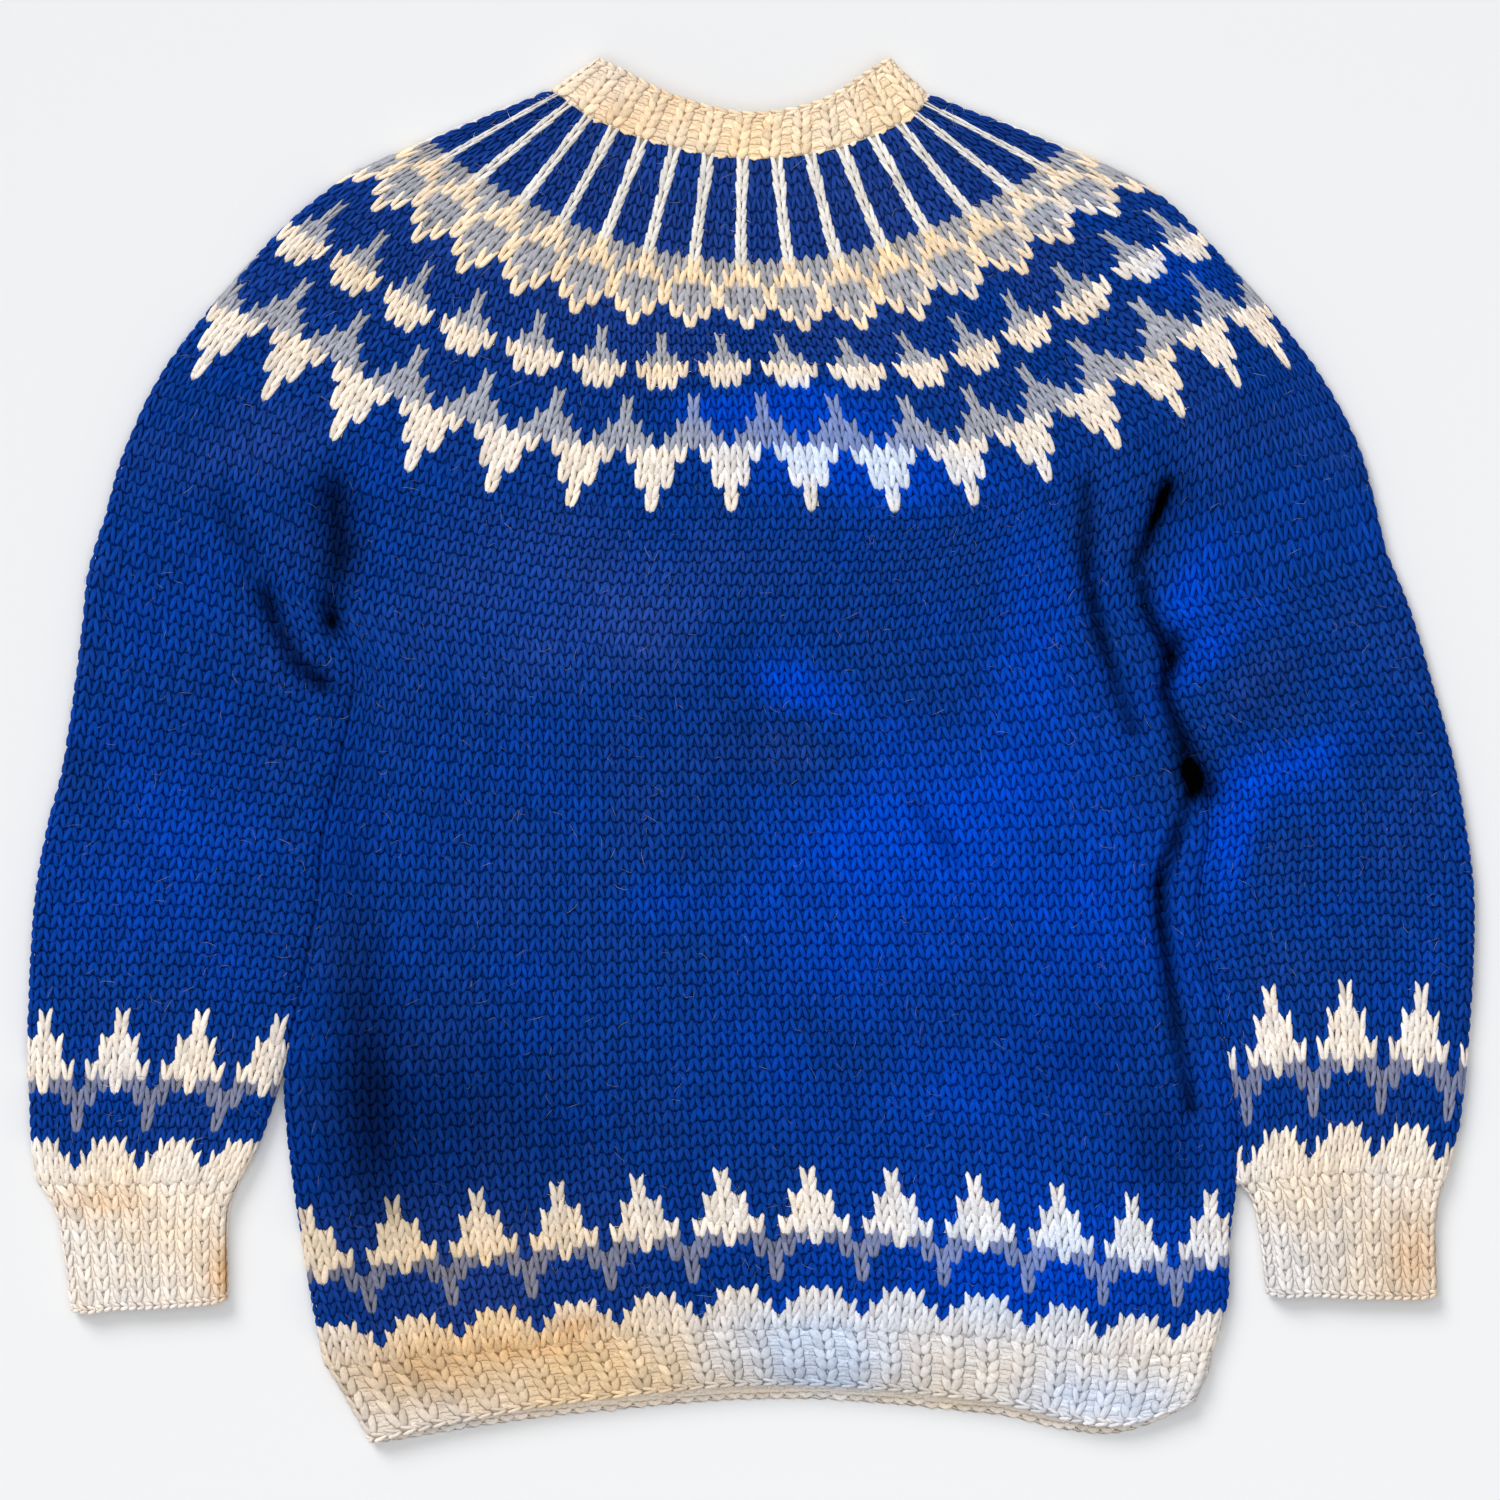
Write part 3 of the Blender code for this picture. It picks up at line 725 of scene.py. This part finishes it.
def halo(name, cloth, size, yarn_at):
    """Loose curved fibres over the front and the folds of a tube of this size in metres."""
    count = int(FIBRES_A_METRE * size[0] * size[1])
    share = chance.uniform(*FIBRES_ROUND, count)
    row = chance.uniform(FIBRES_FROM_END, cloth.rows - FIBRES_FROM_END, count)
    nearby = 0.002          # a small step on the cloth, to find its scale there
    across = np.linalg.norm(cloth.at(share + nearby, row)[0] - cloth.at(share, row)[0], axis=1)
    down = np.linalg.norm(cloth.at(share, row + nearby)[0] - cloth.at(share, row)[0], axis=1)
    heading = chance.uniform(0.0, 2 * math.pi, count)[:, None]
    along = np.array(FIBRE_POINTS)
    turn = heading + chance.normal(0.0, FIBRE_CURL, count)[:, None] * along
    length = chance.uniform(*FIBRE_LENGTH, count)[:, None] * along
    shares = share[:, None] + length * np.cos(turn) * nearby / across[:, None]
    rows = row[:, None] + length * np.sin(turn) * nearby / down[:, None]
    lift = chance.uniform(*FIBRE_LIFT, count)[:, None] - FIBRE_ARCH * along ** 2
    wide = np.tile(FIBRE_RADIUS * np.array([0.0, 1.0, 1.0, 0.0]), (count, 1))
    own = yarn_at(share % 1.0, row)
    stray = (chance.random(count) < STRAY_PALE) & (own == BLUE)
    stray_tint = chance.uniform(*STRAY_TINTS, count)
    tone_and_shade = np.where(stray, stray_tint, chance.uniform(*FIBRE_TINTS, count))
    return strands(name, cloth, shares, rows, lift, wide, wide, np.where(stray, GREY, own),
                   np.tile(tone_and_shade[:, None], (1, len(along))), UNDER_SECTION)


# one leg of a stitch, from its tucked-in top to the tip that lies over the stitch below
LEG_DOWN = (-0.12, 0.08, 0.54, 0.98, 1.28)
LEG_OUT = (0.49, 0.41, 0.275, 0.145, 0.05)
LEG_WIDE = (0.0, 0.19, 0.235, 0.205, 0.0)
LEG_LIFT = (-1.1, -0.35, 0.3, 0.2, -0.75)
LEG_TALL = (0.0, 0.8, 1.1, 0.95, 0.0)
# painted shade: a leg's colour is darker at its tucked-in top and at its tip
LEG_SHADE = (0.8, 0.9, 1.0, 1.03, 0.94)
PALE_TUCK = 0.25             # pale yarn passes light on, so its tucked ends darken less
WHITE_PLUMP = 1.12
WHITE_RISE = 0.2
PATTERN_REACH = 1.5          # stitches of the motifs are drawn longer than plain ones
REACH_UP = 0.4               # share of that extra length that goes upwards
UNDER_LEG = (0, 1, 3, 4)     # the legs underneath make do with these points
# how far a stitch, and each leg by itself, strays sideways, down and in plumpness
STITCH_STRAYS = (0.025, 0.05, 0.06)
LEG_STRAYS = (0.012, 0.03, 0.05)


def stitches(name, cloth, count, around, down, yarns, under=False, spread=1.0, raised=0.0,
             reach_of_motif=PATTERN_REACH, depth=1.0):
    """Knit stitches, two legs each, at places counted in stitches round and rows down."""
    wobble = chance.normal(0.0, 1.0, (3, len(around)))
    pick = list(UNDER_LEG) if under else list(range(len(LEG_DOWN)))
    leg = np.array((LEG_DOWN, LEG_OUT, LEG_WIDE, LEG_LIFT, LEG_TALL, LEG_SHADE))[:, pick]
    leg_down, leg_out, leg_wide, leg_lift, leg_tall, leg_shade = leg
    aside, below, plumper = STITCH_STRAYS
    leg_aside, leg_below, leg_plumper = LEG_STRAYS
    motif = yarns != BLUE
    pale = (yarns == WHITE) | (yarns == SILVER)
    reach = np.where(motif, reach_of_motif, 1.0)
    usual_plump = np.where(pale, WHITE_PLUMP, 1.0)
    both_around = []
    both_down = []
    plump = []
    for hand in (-1, 1):
        own = chance.normal(0.0, 1.0, (2, len(around)))
        centre = around + aside * wobble[0] + leg_aside * own[0]
        both_around.append(centre[:, None] + hand * spread * leg_out[None])
        start = down + below * wobble[1] + leg_below * own[1] - REACH_UP * (reach - 1)
        both_down.append(start[:, None] + leg_down * reach[:, None])
        plump.append(usual_plump + plumper * wobble[2] + leg_plumper * own[0])
    both_counts = np.tile(count, 2)
    places = np.concatenate(both_around) / both_counts[:, None]
    rows = np.concatenate(both_down)
    plump = np.concatenate(plump)[:, None]
    pitch = np.linalg.norm(cloth.at(places[:, 1] + 0.5 / both_counts, rows[:, 1])[0]
                           - cloth.at(places[:, 1] - 0.5 / both_counts, rows[:, 1])[0], axis=1)
    wide = leg_wide[None] * plump * pitch[:, None] * spread
    tall = leg_tall[None] * plump * depth
    lift = leg_lift[None] * depth + raised + np.tile(WHITE_RISE * pale, 2)[:, None]
    section = UNDER_SECTION if under else TOP_SECTION
    # painted shade along each leg, less of it on motif stitches
    tucked = np.where(motif, PALE_TUCK, 1.0)
    tone_and_shade = np.tile(1 - (1 - leg_shade) * tucked[:, None], (2, 1))
    return strands(name, cloth, places, rows, lift, wide, tall, np.tile(yarns, 2), tone_and_shade, section)


BENEATH = (0.512, 0.988)    # stitches between these shares of the way round lie underneath


def knitted(name, cloth, rounds):
    """All stitches of a tube in one front and one under piece.  Each round is its row,
    its stitch count, the place of its first stitch and the letters of its repeat."""
    fields = {False: [], True: []}
    for row, count, first, repeat in rounds:
        place = (np.arange(count) + first) / count
        letters = np.array([YARNS.index(c) for c in repeat])[np.arange(count) % len(repeat)]
        beneath = (place % 1.0 > BENEATH[0]) & (place % 1.0 < BENEATH[1])
        for under in (False, True):
            chosen = beneath == under
            fields[under].append((place[chosen], np.full(chosen.sum(), float(row)),
                                  letters[chosen], np.full(chosen.sum(), count)))
    made = []
    for under, suffix in ((False, "stitches"), (True, "stitches_under")):
        place, row, letters, count = [np.concatenate(f) for f in zip(*fields[under])]
        made.append(stitches(f"{name}_{suffix}", cloth, count, place * count, row, letters,
                             under))
    return made


def yarn_of(rounds):
    """Function that gives the yarn at shares round a tube and rows down it."""
    rows = {int(row): (count, first, [YARNS.index(c) for c in repeat])
            for row, count, first, repeat in rounds}

    def at(share, down):
        found = np.zeros(np.shape(share), int)
        here = np.clip(down, 0, max(rows) + 0.5).astype(int)
        for row, (count, first, letters) in rows.items():
            number = np.round(share * count - first).astype(int) % len(letters)
            found = np.where(here == row, np.array(letters)[number], found)
        return found
    return at


def straight_line(x0, y0, x1, y1, t, lift=0.0):
    """Points at shares t of the way between two ends, lifted up the page."""
    return np.stack([x0 + (x1 - x0) * t, y0 + (y1 - y0) * t + lift], axis=1)


def to_rows(rings, plain, patterned=0, band_row=0.0, early=1.0):
    """Plan of every half row: plain rows share what the band's even rows leave.  With early
    over 1, the longer columns are stretched in the upper rows and the rows soon lie level."""
    steps = np.linalg.norm(np.diff(rings, axis=0), axis=2)
    depth = np.concatenate([np.zeros((1, rings.shape[1])), np.cumsum(steps, axis=0)])
    total = depth[-1]
    halves = np.arange(2 * (plain + patterned) + 1) / 2
    length = total - patterned * band_row
    share = np.clip(halves / plain, 0.0, 1.0)[:, None]
    spent = length.min() * share + (length - length.min()) * (1 - (1 - share) ** early)
    wanted = np.where(halves[:, None] <= plain, spent,
                      total - (plain + patterned - halves[:, None]) * band_row)
    lines = np.empty((len(halves), rings.shape[1], 2))
    for column in range(rings.shape[1]):
        for axis in (0, 1):
            lines[:, column, axis] = np.interp(wanted[:, column], depth[:, column],
                                               rings[:, column, axis])
    return lines


def yoke_round(k, t):
    """Points at shares t of the way across a round of the yoke."""
    return smooth_through(YOKE_STATIONS, YOKE_ROUNDS[k], t)


def densely(rings, steps=6):
    """More rings, on smooth curves through the given ones."""
    rings = np.array(rings)
    levels = np.arange(len(rings))
    wanted = np.linspace(0, levels[-1], steps * levels[-1] + 1)
    flat = smooth_through(levels, rings.reshape(len(rings), -1), wanted)
    return flat.reshape(len(wanted), *rings.shape[1:])


def banded_rounds(count, plain, band_at, lean):
    """Plain blue rounds, and the band below them, twisted by so many stitches."""
    rounds = [(row, count, band_at, "b") for row in range(plain)]
    for k, repeat in enumerate(BODY_BAND):
        rounds.append((plain + k, count, band_at + lean * k / (len(BODY_BAND) - 1), repeat))
    return rounds


def lay_down(node):
    """Hides the solid, so that the skin and its yarn stand in its place on the table."""
    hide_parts(node)


def dress(node, cloth, rounds, columns, flat):
    """Skin, stitches and loose fibres of one knitted tube."""
    cover = skin(f"{node}_skin", cloth, columns, int(cloth.rows), yarn_of(rounds))
    yarn = knitted(node, cloth, rounds)
    yarn.append(halo(f"{node}_halo", cloth, flat, yarn_of(rounds)))
    lay_down(node)


BODY_COLUMNS = np.linspace(0.0, 1.0, 97)
last_side = len(BODY_SIDES) - 1
join = yoke_round(-1, LEFT_UNDERARM + (RIGHT_UNDERARM - LEFT_UNDERARM) * BODY_COLUMNS)
join_x = np.linspace(join[0, 0], join[-1, 0], len(BODY_COLUMNS))
body_rings = [np.stack([join_x, np.interp(join_x, join[:, 0], join[:, 1])], axis=1)]
join_sag = body_rings[0][:, 1] - straight_line(*BODY_SIDES[0], BODY_COLUMNS)[:, 1]
hem_shares = smooth_through(BODY_STATIONS, HEM_STATIONS, BODY_COLUMNS)
late_shifts = smooth_through(LATE_STATIONS, LATE_SHIFTS, BODY_COLUMNS)
first_left, _, first_right, _ = BODY_SIDES[0]
last_left, _, last_right, _ = BODY_SIDES[-1]
for k, sides in enumerate(BODY_SIDES[1:], start=1):
    low = max(0.0, 1 - (last_side - k) / BOW_FADES_OVER)
    high = max(0.0, 1 - k / BOW_FADES_OVER)
    shares = BODY_COLUMNS + (hem_shares - BODY_COLUMNS) * k / last_side
    shares = shares + late_shifts * (k / last_side) ** LATE_POWER
    rib_top_lift = smooth_through(BOW_STATIONS, RIB_TOP_BOW, shares)
    ring = straight_line(*sides, shares, low * rib_top_lift + high * join_sag)
    even_left = first_left + (last_left - first_left) * k / last_side
    even_right = first_right + (last_right - first_right) * k / last_side
    ring[:, 0] = even_left + (even_right - even_left) * shares
    ring[:, 0] += (sides[0] - even_left) * (1 - shares) ** SIDE_PULL
    ring[:, 0] += (sides[2] - even_right) * shares ** SIDE_PULL
    body_rings.append(ring)
hem_shares = hem_shares + late_shifts

body_lines = to_rows(densely(body_rings), PLAIN_ROWS, len(BODY_BAND), BAND_ROW)
body_cloth = Cloth(body_lines, (FOLD_ROOM, FOLD_ROOM))
body_rounds = banded_rounds(BODY_STITCHES, PLAIN_ROWS, BODY_BAND_AT, BAND_LEAN)
dress("body", body_cloth, body_rounds, BODY_STITCHES, BODY_FLAT)

# --- sleeves -----------------------------------------------------------------------------
# Two narrower tubes of the same wool, knitted upwards from the cuffs with the same band.
# They lie at the body's sides with their inner folds against it.

SLEEVE_FLAT = (0.27, 0.33)
SLEEVE_STITCHES = 42
SLEEVE_PLAIN_ROWS = 36
SLEEVE_COLUMNS = np.linspace(0.0, 1.0, 33)
# the folds away from the body, from the yoke down; the left sleeve leaves the body low down
LEFT_OUTER = ((-343, 120), (-351, 94), (-354, 66), (-359, 27), (-365, -12), (-374, -47),
              (-380, -88), (-383, -150), (-382, -188), (-381, -210), (-378, -228))
LEFT_OFF_BODY = ((-255.5, -194), (-263, -213), (-270, -226.5))
RIGHT_OUTER = ((337, 104), (350, 72), (359, 42), (371, 0), (378, -36), (383, -72), (383, -112),
               (380, -160), (376, -197), (369.5, -225))
left_on_body = [sides[:2] for sides in BODY_SIDES[:len(LEFT_OUTER) - len(LEFT_OFF_BODY)]]
left_inner = [*left_on_body, *LEFT_OFF_BODY]
left_sleeve_sides = [(*outer, *inner) for outer, inner in zip(LEFT_OUTER, left_inner)]
right_sleeve_sides = [(*sides[2:], *outer) for sides, outer in zip(BODY_SIDES, RIGHT_OUTER)]
SLEEVE_LEAN = -0.4          # the sleeves' bands twist by so many stitches, leftwards
SLEEVE_EARLY = 2.2          # the slanting rows of the sleeve head soon lie level
ARCH_POWER = 4              # the band's bow comes only in the lowest rows
SLEEVES = (
    # side    table                share of the yoke      insets           band at, row, bow
    ("left", left_sleeve_sides, (0.0, LEFT_UNDERARM), (0.0, FOLD_ROOM), 1.7, 6.9, 0.0),
    ("right", right_sleeve_sides, (RIGHT_UNDERARM, 1.0), (FOLD_ROOM, 0.0), 4.6, 7.6, 5.0),
)

sleeve_lines = {}
for side, table_rows, (u0, u1), insets, band_at, band_row, bow in SLEEVES:
    rings = [yoke_round(-1, u0 + (u1 - u0) * SLEEVE_COLUMNS)]
    arch = bow * np.sin(math.pi * SLEEVE_COLUMNS)
    for k, row in enumerate(table_rows[1:], start=1):
        way_down = k / (len(table_rows) - 1)
        rings.append(straight_line(*row, SLEEVE_COLUMNS, arch * way_down ** ARCH_POWER))
    sleeve_lines[side] = to_rows(densely(rings), SLEEVE_PLAIN_ROWS, len(BODY_BAND), band_row,
                                 SLEEVE_EARLY)
    sleeve_rounds = banded_rounds(SLEEVE_STITCHES, SLEEVE_PLAIN_ROWS, band_at, SLEEVE_LEAN)
    dress(f"sleeve_{side}", Cloth(sleeve_lines[side], insets), sleeve_rounds,
          SLEEVE_STITCHES, SLEEVE_FLAT)

# --- yoke --------------------------------------------------------------------------------
# A round yoke in one piece, worked on all the stitches at once and narrowed towards the
# neck.  Its rounds carry stripes, diamonds, crowns and long points in white and grey.

YOKE_FLAT = (1.1, 0.28)
YOKE_ROUND_ROWS = (0, 8.0, 13.5, 19.6, 30, 36, 42)      # where the rounds given above lie
YOKE_REPEATS = 32
YOKE_SKIN_COLUMNS = 192
YOKE_COLUMNS = np.linspace(0.0, 1.0, 193)
YOKE_BANDS = (
    # rows, repeat, place of the repeat's first stitch as a share of the repeat
    (3, "sbb", 0.0),
    (5, "sbbb", 0.0),
    (1, "wggg", 0.0),
    (1, "wwgw", 0.0),
    (2, "ggwg", 0.0),
    (1, "gwbw", 0.0),
    (1, "wbbb", 0.0),
    (1, "bbbbbb", 0.5),
    (2, "gbbbbb", 0.5),
    (1, "ggbbbg", 0.5),
    (1, "wwwbww", 0.5),
    (1, "wwbbbw", 0.5),
    (1, "bbbbbb", 0.5),
    (2, "bbbgbb", 0.5),
    (1, "bbgggb", 0.5),
    (1, "bggggg", 0.5),
    (1, "wwwbww", 0.5),
    (2, "wwbbbw", 0.5),
    (2, "wbbbbb", 0.5),
    (12, "bbbbbbb", 0.5),
)

yoke_rings = np.array([yoke_round(k, YOKE_COLUMNS) for k in range(len(YOKE_ROUNDS))])
half_rows = np.arange(2 * YOKE_ROUND_ROWS[-1] + 1) / 2
yoke_lines = smooth_through(YOKE_ROUND_ROWS, yoke_rings.reshape(len(YOKE_ROUNDS), -1), half_rows)
yoke_lines = yoke_lines.reshape(len(half_rows), len(YOKE_COLUMNS), 2)
yoke_rounds = []
for rows, repeat, shift in YOKE_BANDS:
    for _ in range(rows):
        yoke_rounds.append((len(yoke_rounds), YOKE_REPEATS * len(repeat),
                            shift * len(repeat), repeat))
dress("yoke", Cloth(yoke_lines), yoke_rounds, YOKE_SKIN_COLUMNS, YOKE_FLAT)

# --- hem ribbing -------------------------------------------------------------------------
# One knit and one purl stitch by turns, in natural cream, worked in the round below the
# band and cast off in a chain.  The back hem shows a little below the front one.

HEM_SIDES = (
    # left x, left y, right x, right y
    BODY_SIDES[-1],
    (-214, -346, 243, -331),
    (-203, -365.7, 236, -345),
)
HEM_BOW = (0, 8, 16, 20, 6, -10, 0)
BACK_HEM_DROP = 7.5
HEM_FLAT = (0.9, 0.035)
HEM_RIBS = 28
HEM_ROWS = 6
HEM_ROWS_INSIDE = 3         # rows of the back's inside that show below the front edge
HEM_PURL = (-0.1, 0.58)     # lift of the purl arcs in mm, and their half length in stitches
FIRST_RIB_ROW = -0.5        # it starts half a row up, under the last row above
RIB_AT = 0.36               # middle of the first knit column, as a share of one rib
RIB_SPREAD = 1.2            # knit columns stand fuller than stitches of plain knitting
RIB_SINK = 0.3              # ribs are dense, so their skin lies closer to the surface
RIB_DEPTH = 0.6
RIB_REACH = 1.15            # ribbed stitches are drawn a little longer than plain ones
KNIT_RISE = 0.15
INSIDE_LIFT = 0.2
INSIDE_FROM_EDGE = 0.8      # rows

# an arc across a purl stitch: its points, in the order that it is laid
PURL_REACH = 0.62
PURL_ACROSS = (-1.0, -0.5, 0.0, 0.5, 1.0)
PURL_SAG = (0.36, 0.13, 0.0, 0.13, 0.36)
PURL_SAG_USUAL = 0.16       # taken off, so that the arc keeps to its row
PURL_DIP = (-0.5, -0.1, 0.0, -0.1, -0.5)
PURL_WIDE = 0.25            # half the width of a purl arc, in rows
PURL_ARCS_AT = (0.22, 0.78) # rows below the top of the stitch
PURL_STRAYS = 0.06
ARC_TALL = 0.36
ARC_FAT = (0.0, 0.9, 1.0, 0.9, 0.0)
# painted shade: an arc's colour is darker at its tucked ends
ARC_SHADE = (0.9, 1.0, 1.03, 1.0, 0.9)

# a link of the chain along the edge: its upper leg and its lower one
CHAIN_DOWN = ((-0.30, -0.26, -0.14, -0.04, 0.02), (0.30, 0.28, 0.20, 0.10, 0.04))
CHAIN_ACROSS = (-0.62, -0.3, 0.05, 0.4, 0.72)
CHAIN_LIFT = (-0.7, 0.1, 0.3, 0.2, -0.7)
CHAIN_WIDE = 1.15
CHAIN_TALL = 1.1


def finish_rings(table_rows, first_ring, end_bow, columns):
    """Plan of a ribbed end, from the ring that it is knitted onto to its free edge."""
    straight = straight_line(*table_rows[0], columns)
    bow = smooth_through(BOW_STATIONS, end_bow, columns)
    rings = [first_ring]
    for k, sides in enumerate(table_rows[1:], start=1):
        share = k / (len(table_rows) - 1)
        lift = share * bow + (1 - share) * (first_ring[:, 1] - straight[:, 1])
        rings.append(straight_line(*sides, columns, lift))
    return rings


def purl_bumps(name, cloth, count, around, down, lift, reach=PURL_REACH, face=1):
    """Two short arcs across the column for each purl stitch, bent up and then down."""
    across = reach * np.array(PURL_ACROSS)
    sag = np.array(PURL_SAG) - PURL_SAG_USUAL
    fat = np.array(ARC_FAT)
    around = np.tile(around, 2)
    down = np.concatenate([down + arc_at for arc_at in PURL_ARCS_AT])
    bend = np.repeat([1.0, -1.0], len(down) // 2)
    strays = chance.normal(0.0, PURL_STRAYS, (2, len(down)))
    places = ((around + strays[0])[:, None] + across[None]) / count
    rows = (down + strays[1])[:, None] + bend[:, None] * sag[None]
    row_height = np.linalg.norm(cloth.at(places[:, 2], rows[:, 2] + 0.5)[0]
                                - cloth.at(places[:, 2], rows[:, 2] - 0.5)[0], axis=1)
    widths = fat[None] * PURL_WIDE * row_height[:, None]
    heights = np.repeat(fat[None] * ARC_TALL, len(down), axis=0)
    lifts = np.tile(np.array(PURL_DIP) + lift, (len(down), 1))
    return strands(name, cloth, places, rows, lifts, widths, heights,
                   np.full(len(down), WHITE), np.tile(ARC_SHADE, (len(down), 1)), face=face)


def edge_chain(name, cloth, count, edge_row):
    """Chain along the free edge: each link is a V that lies on its side."""
    around = np.tile(np.arange(count), 2)
    places = (around[:, None] + np.array(CHAIN_ACROSS)) / count
    rows = edge_row + np.repeat(CHAIN_DOWN, count, axis=0)
    widths = np.tile(np.array(ARC_FAT) * CHAIN_WIDE, (2 * count, 1))
    heights = np.tile(np.array(ARC_FAT) * CHAIN_TALL, (2 * count, 1))
    lifts = np.tile(CHAIN_LIFT, (2 * count, 1))
    return strands(name, cloth, places, rows, lifts, widths, heights,
                   np.full(2 * count, WHITE), np.tile(ARC_SHADE, (2 * count, 1)))


def ribbed(node, cloth, ribs, rows_at, spread, purl, flat, edge_row, inside=0):
    """Skin, knit columns, purl columns and edge chain of an end with so many ribs on its
    front.  Purl is the lift and reach of its purl arcs, and inside is how many rows of the
    back show their inner side."""
    count = 4 * ribs
    rows = int(cloth.rows)
    all_white = yarn_of([(0, 1, 0.0, "w")])
    cover = skin(f"{node}_skin", cloth, count * 2, rows * 2, all_white, RIB_SINK, 0.0)
    first = 2 * RIB_AT
    knit, row = [a.ravel() for a in np.meshgrid(np.arange(0, count, 2) + first, rows_at)]
    yarn = [
        stitches(f"{node}_knit", cloth, np.full(len(knit), count), knit, row,
                 np.full(len(knit), WHITE), spread=spread, raised=KNIT_RISE,
                 reach_of_motif=RIB_REACH, depth=RIB_DEPTH),
        purl_bumps(f"{node}_purl", cloth, count, knit + 1.0, row + 0.5, *purl),
        edge_chain(f"{node}_edge", cloth, count, edge_row),
        halo(f"{node}_halo", cloth, flat, all_white),
    ]
    if inside:
        back = np.arange(count // 2, count) + 0.5
        inside_rows = rows - INSIDE_FROM_EDGE - np.arange(inside)
        back, row = [a.ravel() for a in np.meshgrid(back, inside_rows)]
        yarn.append(purl_bumps(f"{node}_inside", cloth, count, back, row,
                               RIB_SINK + SKIN + INSIDE_LIFT, face=-1))
    lay_down(node)


hem_rings = finish_rings(HEM_SIDES, body_lines[-1], HEM_BOW, hem_shares)
hem_cloth = Cloth(to_rows(densely(hem_rings), HEM_ROWS), (FOLD_ROOM, FOLD_ROOM), BACK_HEM_DROP)
ribbed("hem_rib", hem_cloth, HEM_RIBS, np.arange(HEM_ROWS) + FIRST_RIB_ROW, RIB_SPREAD, HEM_PURL,
       HEM_FLAT, HEM_ROWS, HEM_ROWS_INSIDE)

# --- cuffs -------------------------------------------------------------------------------
# The same ribbing on fewer stitches, drawn in at the wrists; its knit columns close over
# the purl ones, which show as dark valleys.

LEFT_CUFF_SIDES = (
    # outer x, outer y, inner x, inner y
    left_sleeve_sides[-1],
    (-369, -243, -275, -237),
    (-365, -260, -278, -251),
    (-360, -296, -278, -290),
)
RIGHT_CUFF_SIDES = (
    # inner x, inner y, outer x, outer y
    right_sleeve_sides[-1],
    (266, -239, 365, -238.5),
    (270, -256, 363, -258),
    (274, -287, 364, -288),
)
CUFF_END_BOW = (0, -2, -1, -2, -2, -2, 0)
CUFF_FLAT = (0.18, 0.068)
CUFF_RIBS = 10
CUFF_ROWS = 11
CUFF_SPREAD = 1.5
CUFF_PURL = (-0.4, 0.5)

for side, table_rows, insets in (("left", LEFT_CUFF_SIDES, (0.0, FOLD_ROOM)),
                                 ("right", RIGHT_CUFF_SIDES, (FOLD_ROOM, 0.0))):
    cuff_rings = finish_rings(table_rows, sleeve_lines[side][-1], CUFF_END_BOW, SLEEVE_COLUMNS)
    cuff_cloth = Cloth(to_rows(densely(cuff_rings), CUFF_ROWS), insets)
    ribbed(f"cuff_rib_{side}", cuff_cloth, CUFF_RIBS, np.arange(CUFF_ROWS) + FIRST_RIB_ROW,
           CUFF_SPREAD, CUFF_PURL, CUFF_FLAT, CUFF_ROWS)

# --- neckband ----------------------------------------------------------------------------
# Stitches picked up round the top of the yoke, ribbed in the same cream wool and cast off
# in a chain.  The ribbing draws the neck in.

NECK_EDGE_STATIONS = (0.0, 0.1, 0.3, 0.5, 0.7, 0.9, 1.0)
NECK_EDGE = ((-81, 366), (-69, 360), (-38, 345), (-1, 337), (36, 343), (63, 359), (74, 366))
NECK_FLAT = (0.42, 0.028)
NECK_RIBS = 13
NECK_ROWS = 5
NECK_ROWS_AT = np.linspace(0.05, 3.6, NECK_ROWS)    # no tip reaches past the band
NECK_PURL = (0.05, 0.6)
NECK_EDGE_ROW = 0.15

neck_steps = np.concatenate([[0.0], np.cumsum(np.hypot(*np.diff(yoke_lines[0], axis=0).T))])
even_steps = YOKE_COLUMNS * neck_steps[-1]
neck_ring = np.stack([np.interp(even_steps, neck_steps, yoke_lines[0][:, axis])
                      for axis in (0, 1)], axis=1)
neck_edge = smooth_through(NECK_EDGE_STATIONS, NECK_EDGE, YOKE_COLUMNS)
neck_rings = [neck_edge, (neck_ring + neck_edge) / 2, neck_ring]
neck_cloth = Cloth(to_rows(densely(neck_rings), NECK_ROWS))
ribbed("neckband", neck_cloth, NECK_RIBS, NECK_ROWS_AT, RIB_SPREAD, NECK_PURL, NECK_FLAT,
       NECK_EDGE_ROW)
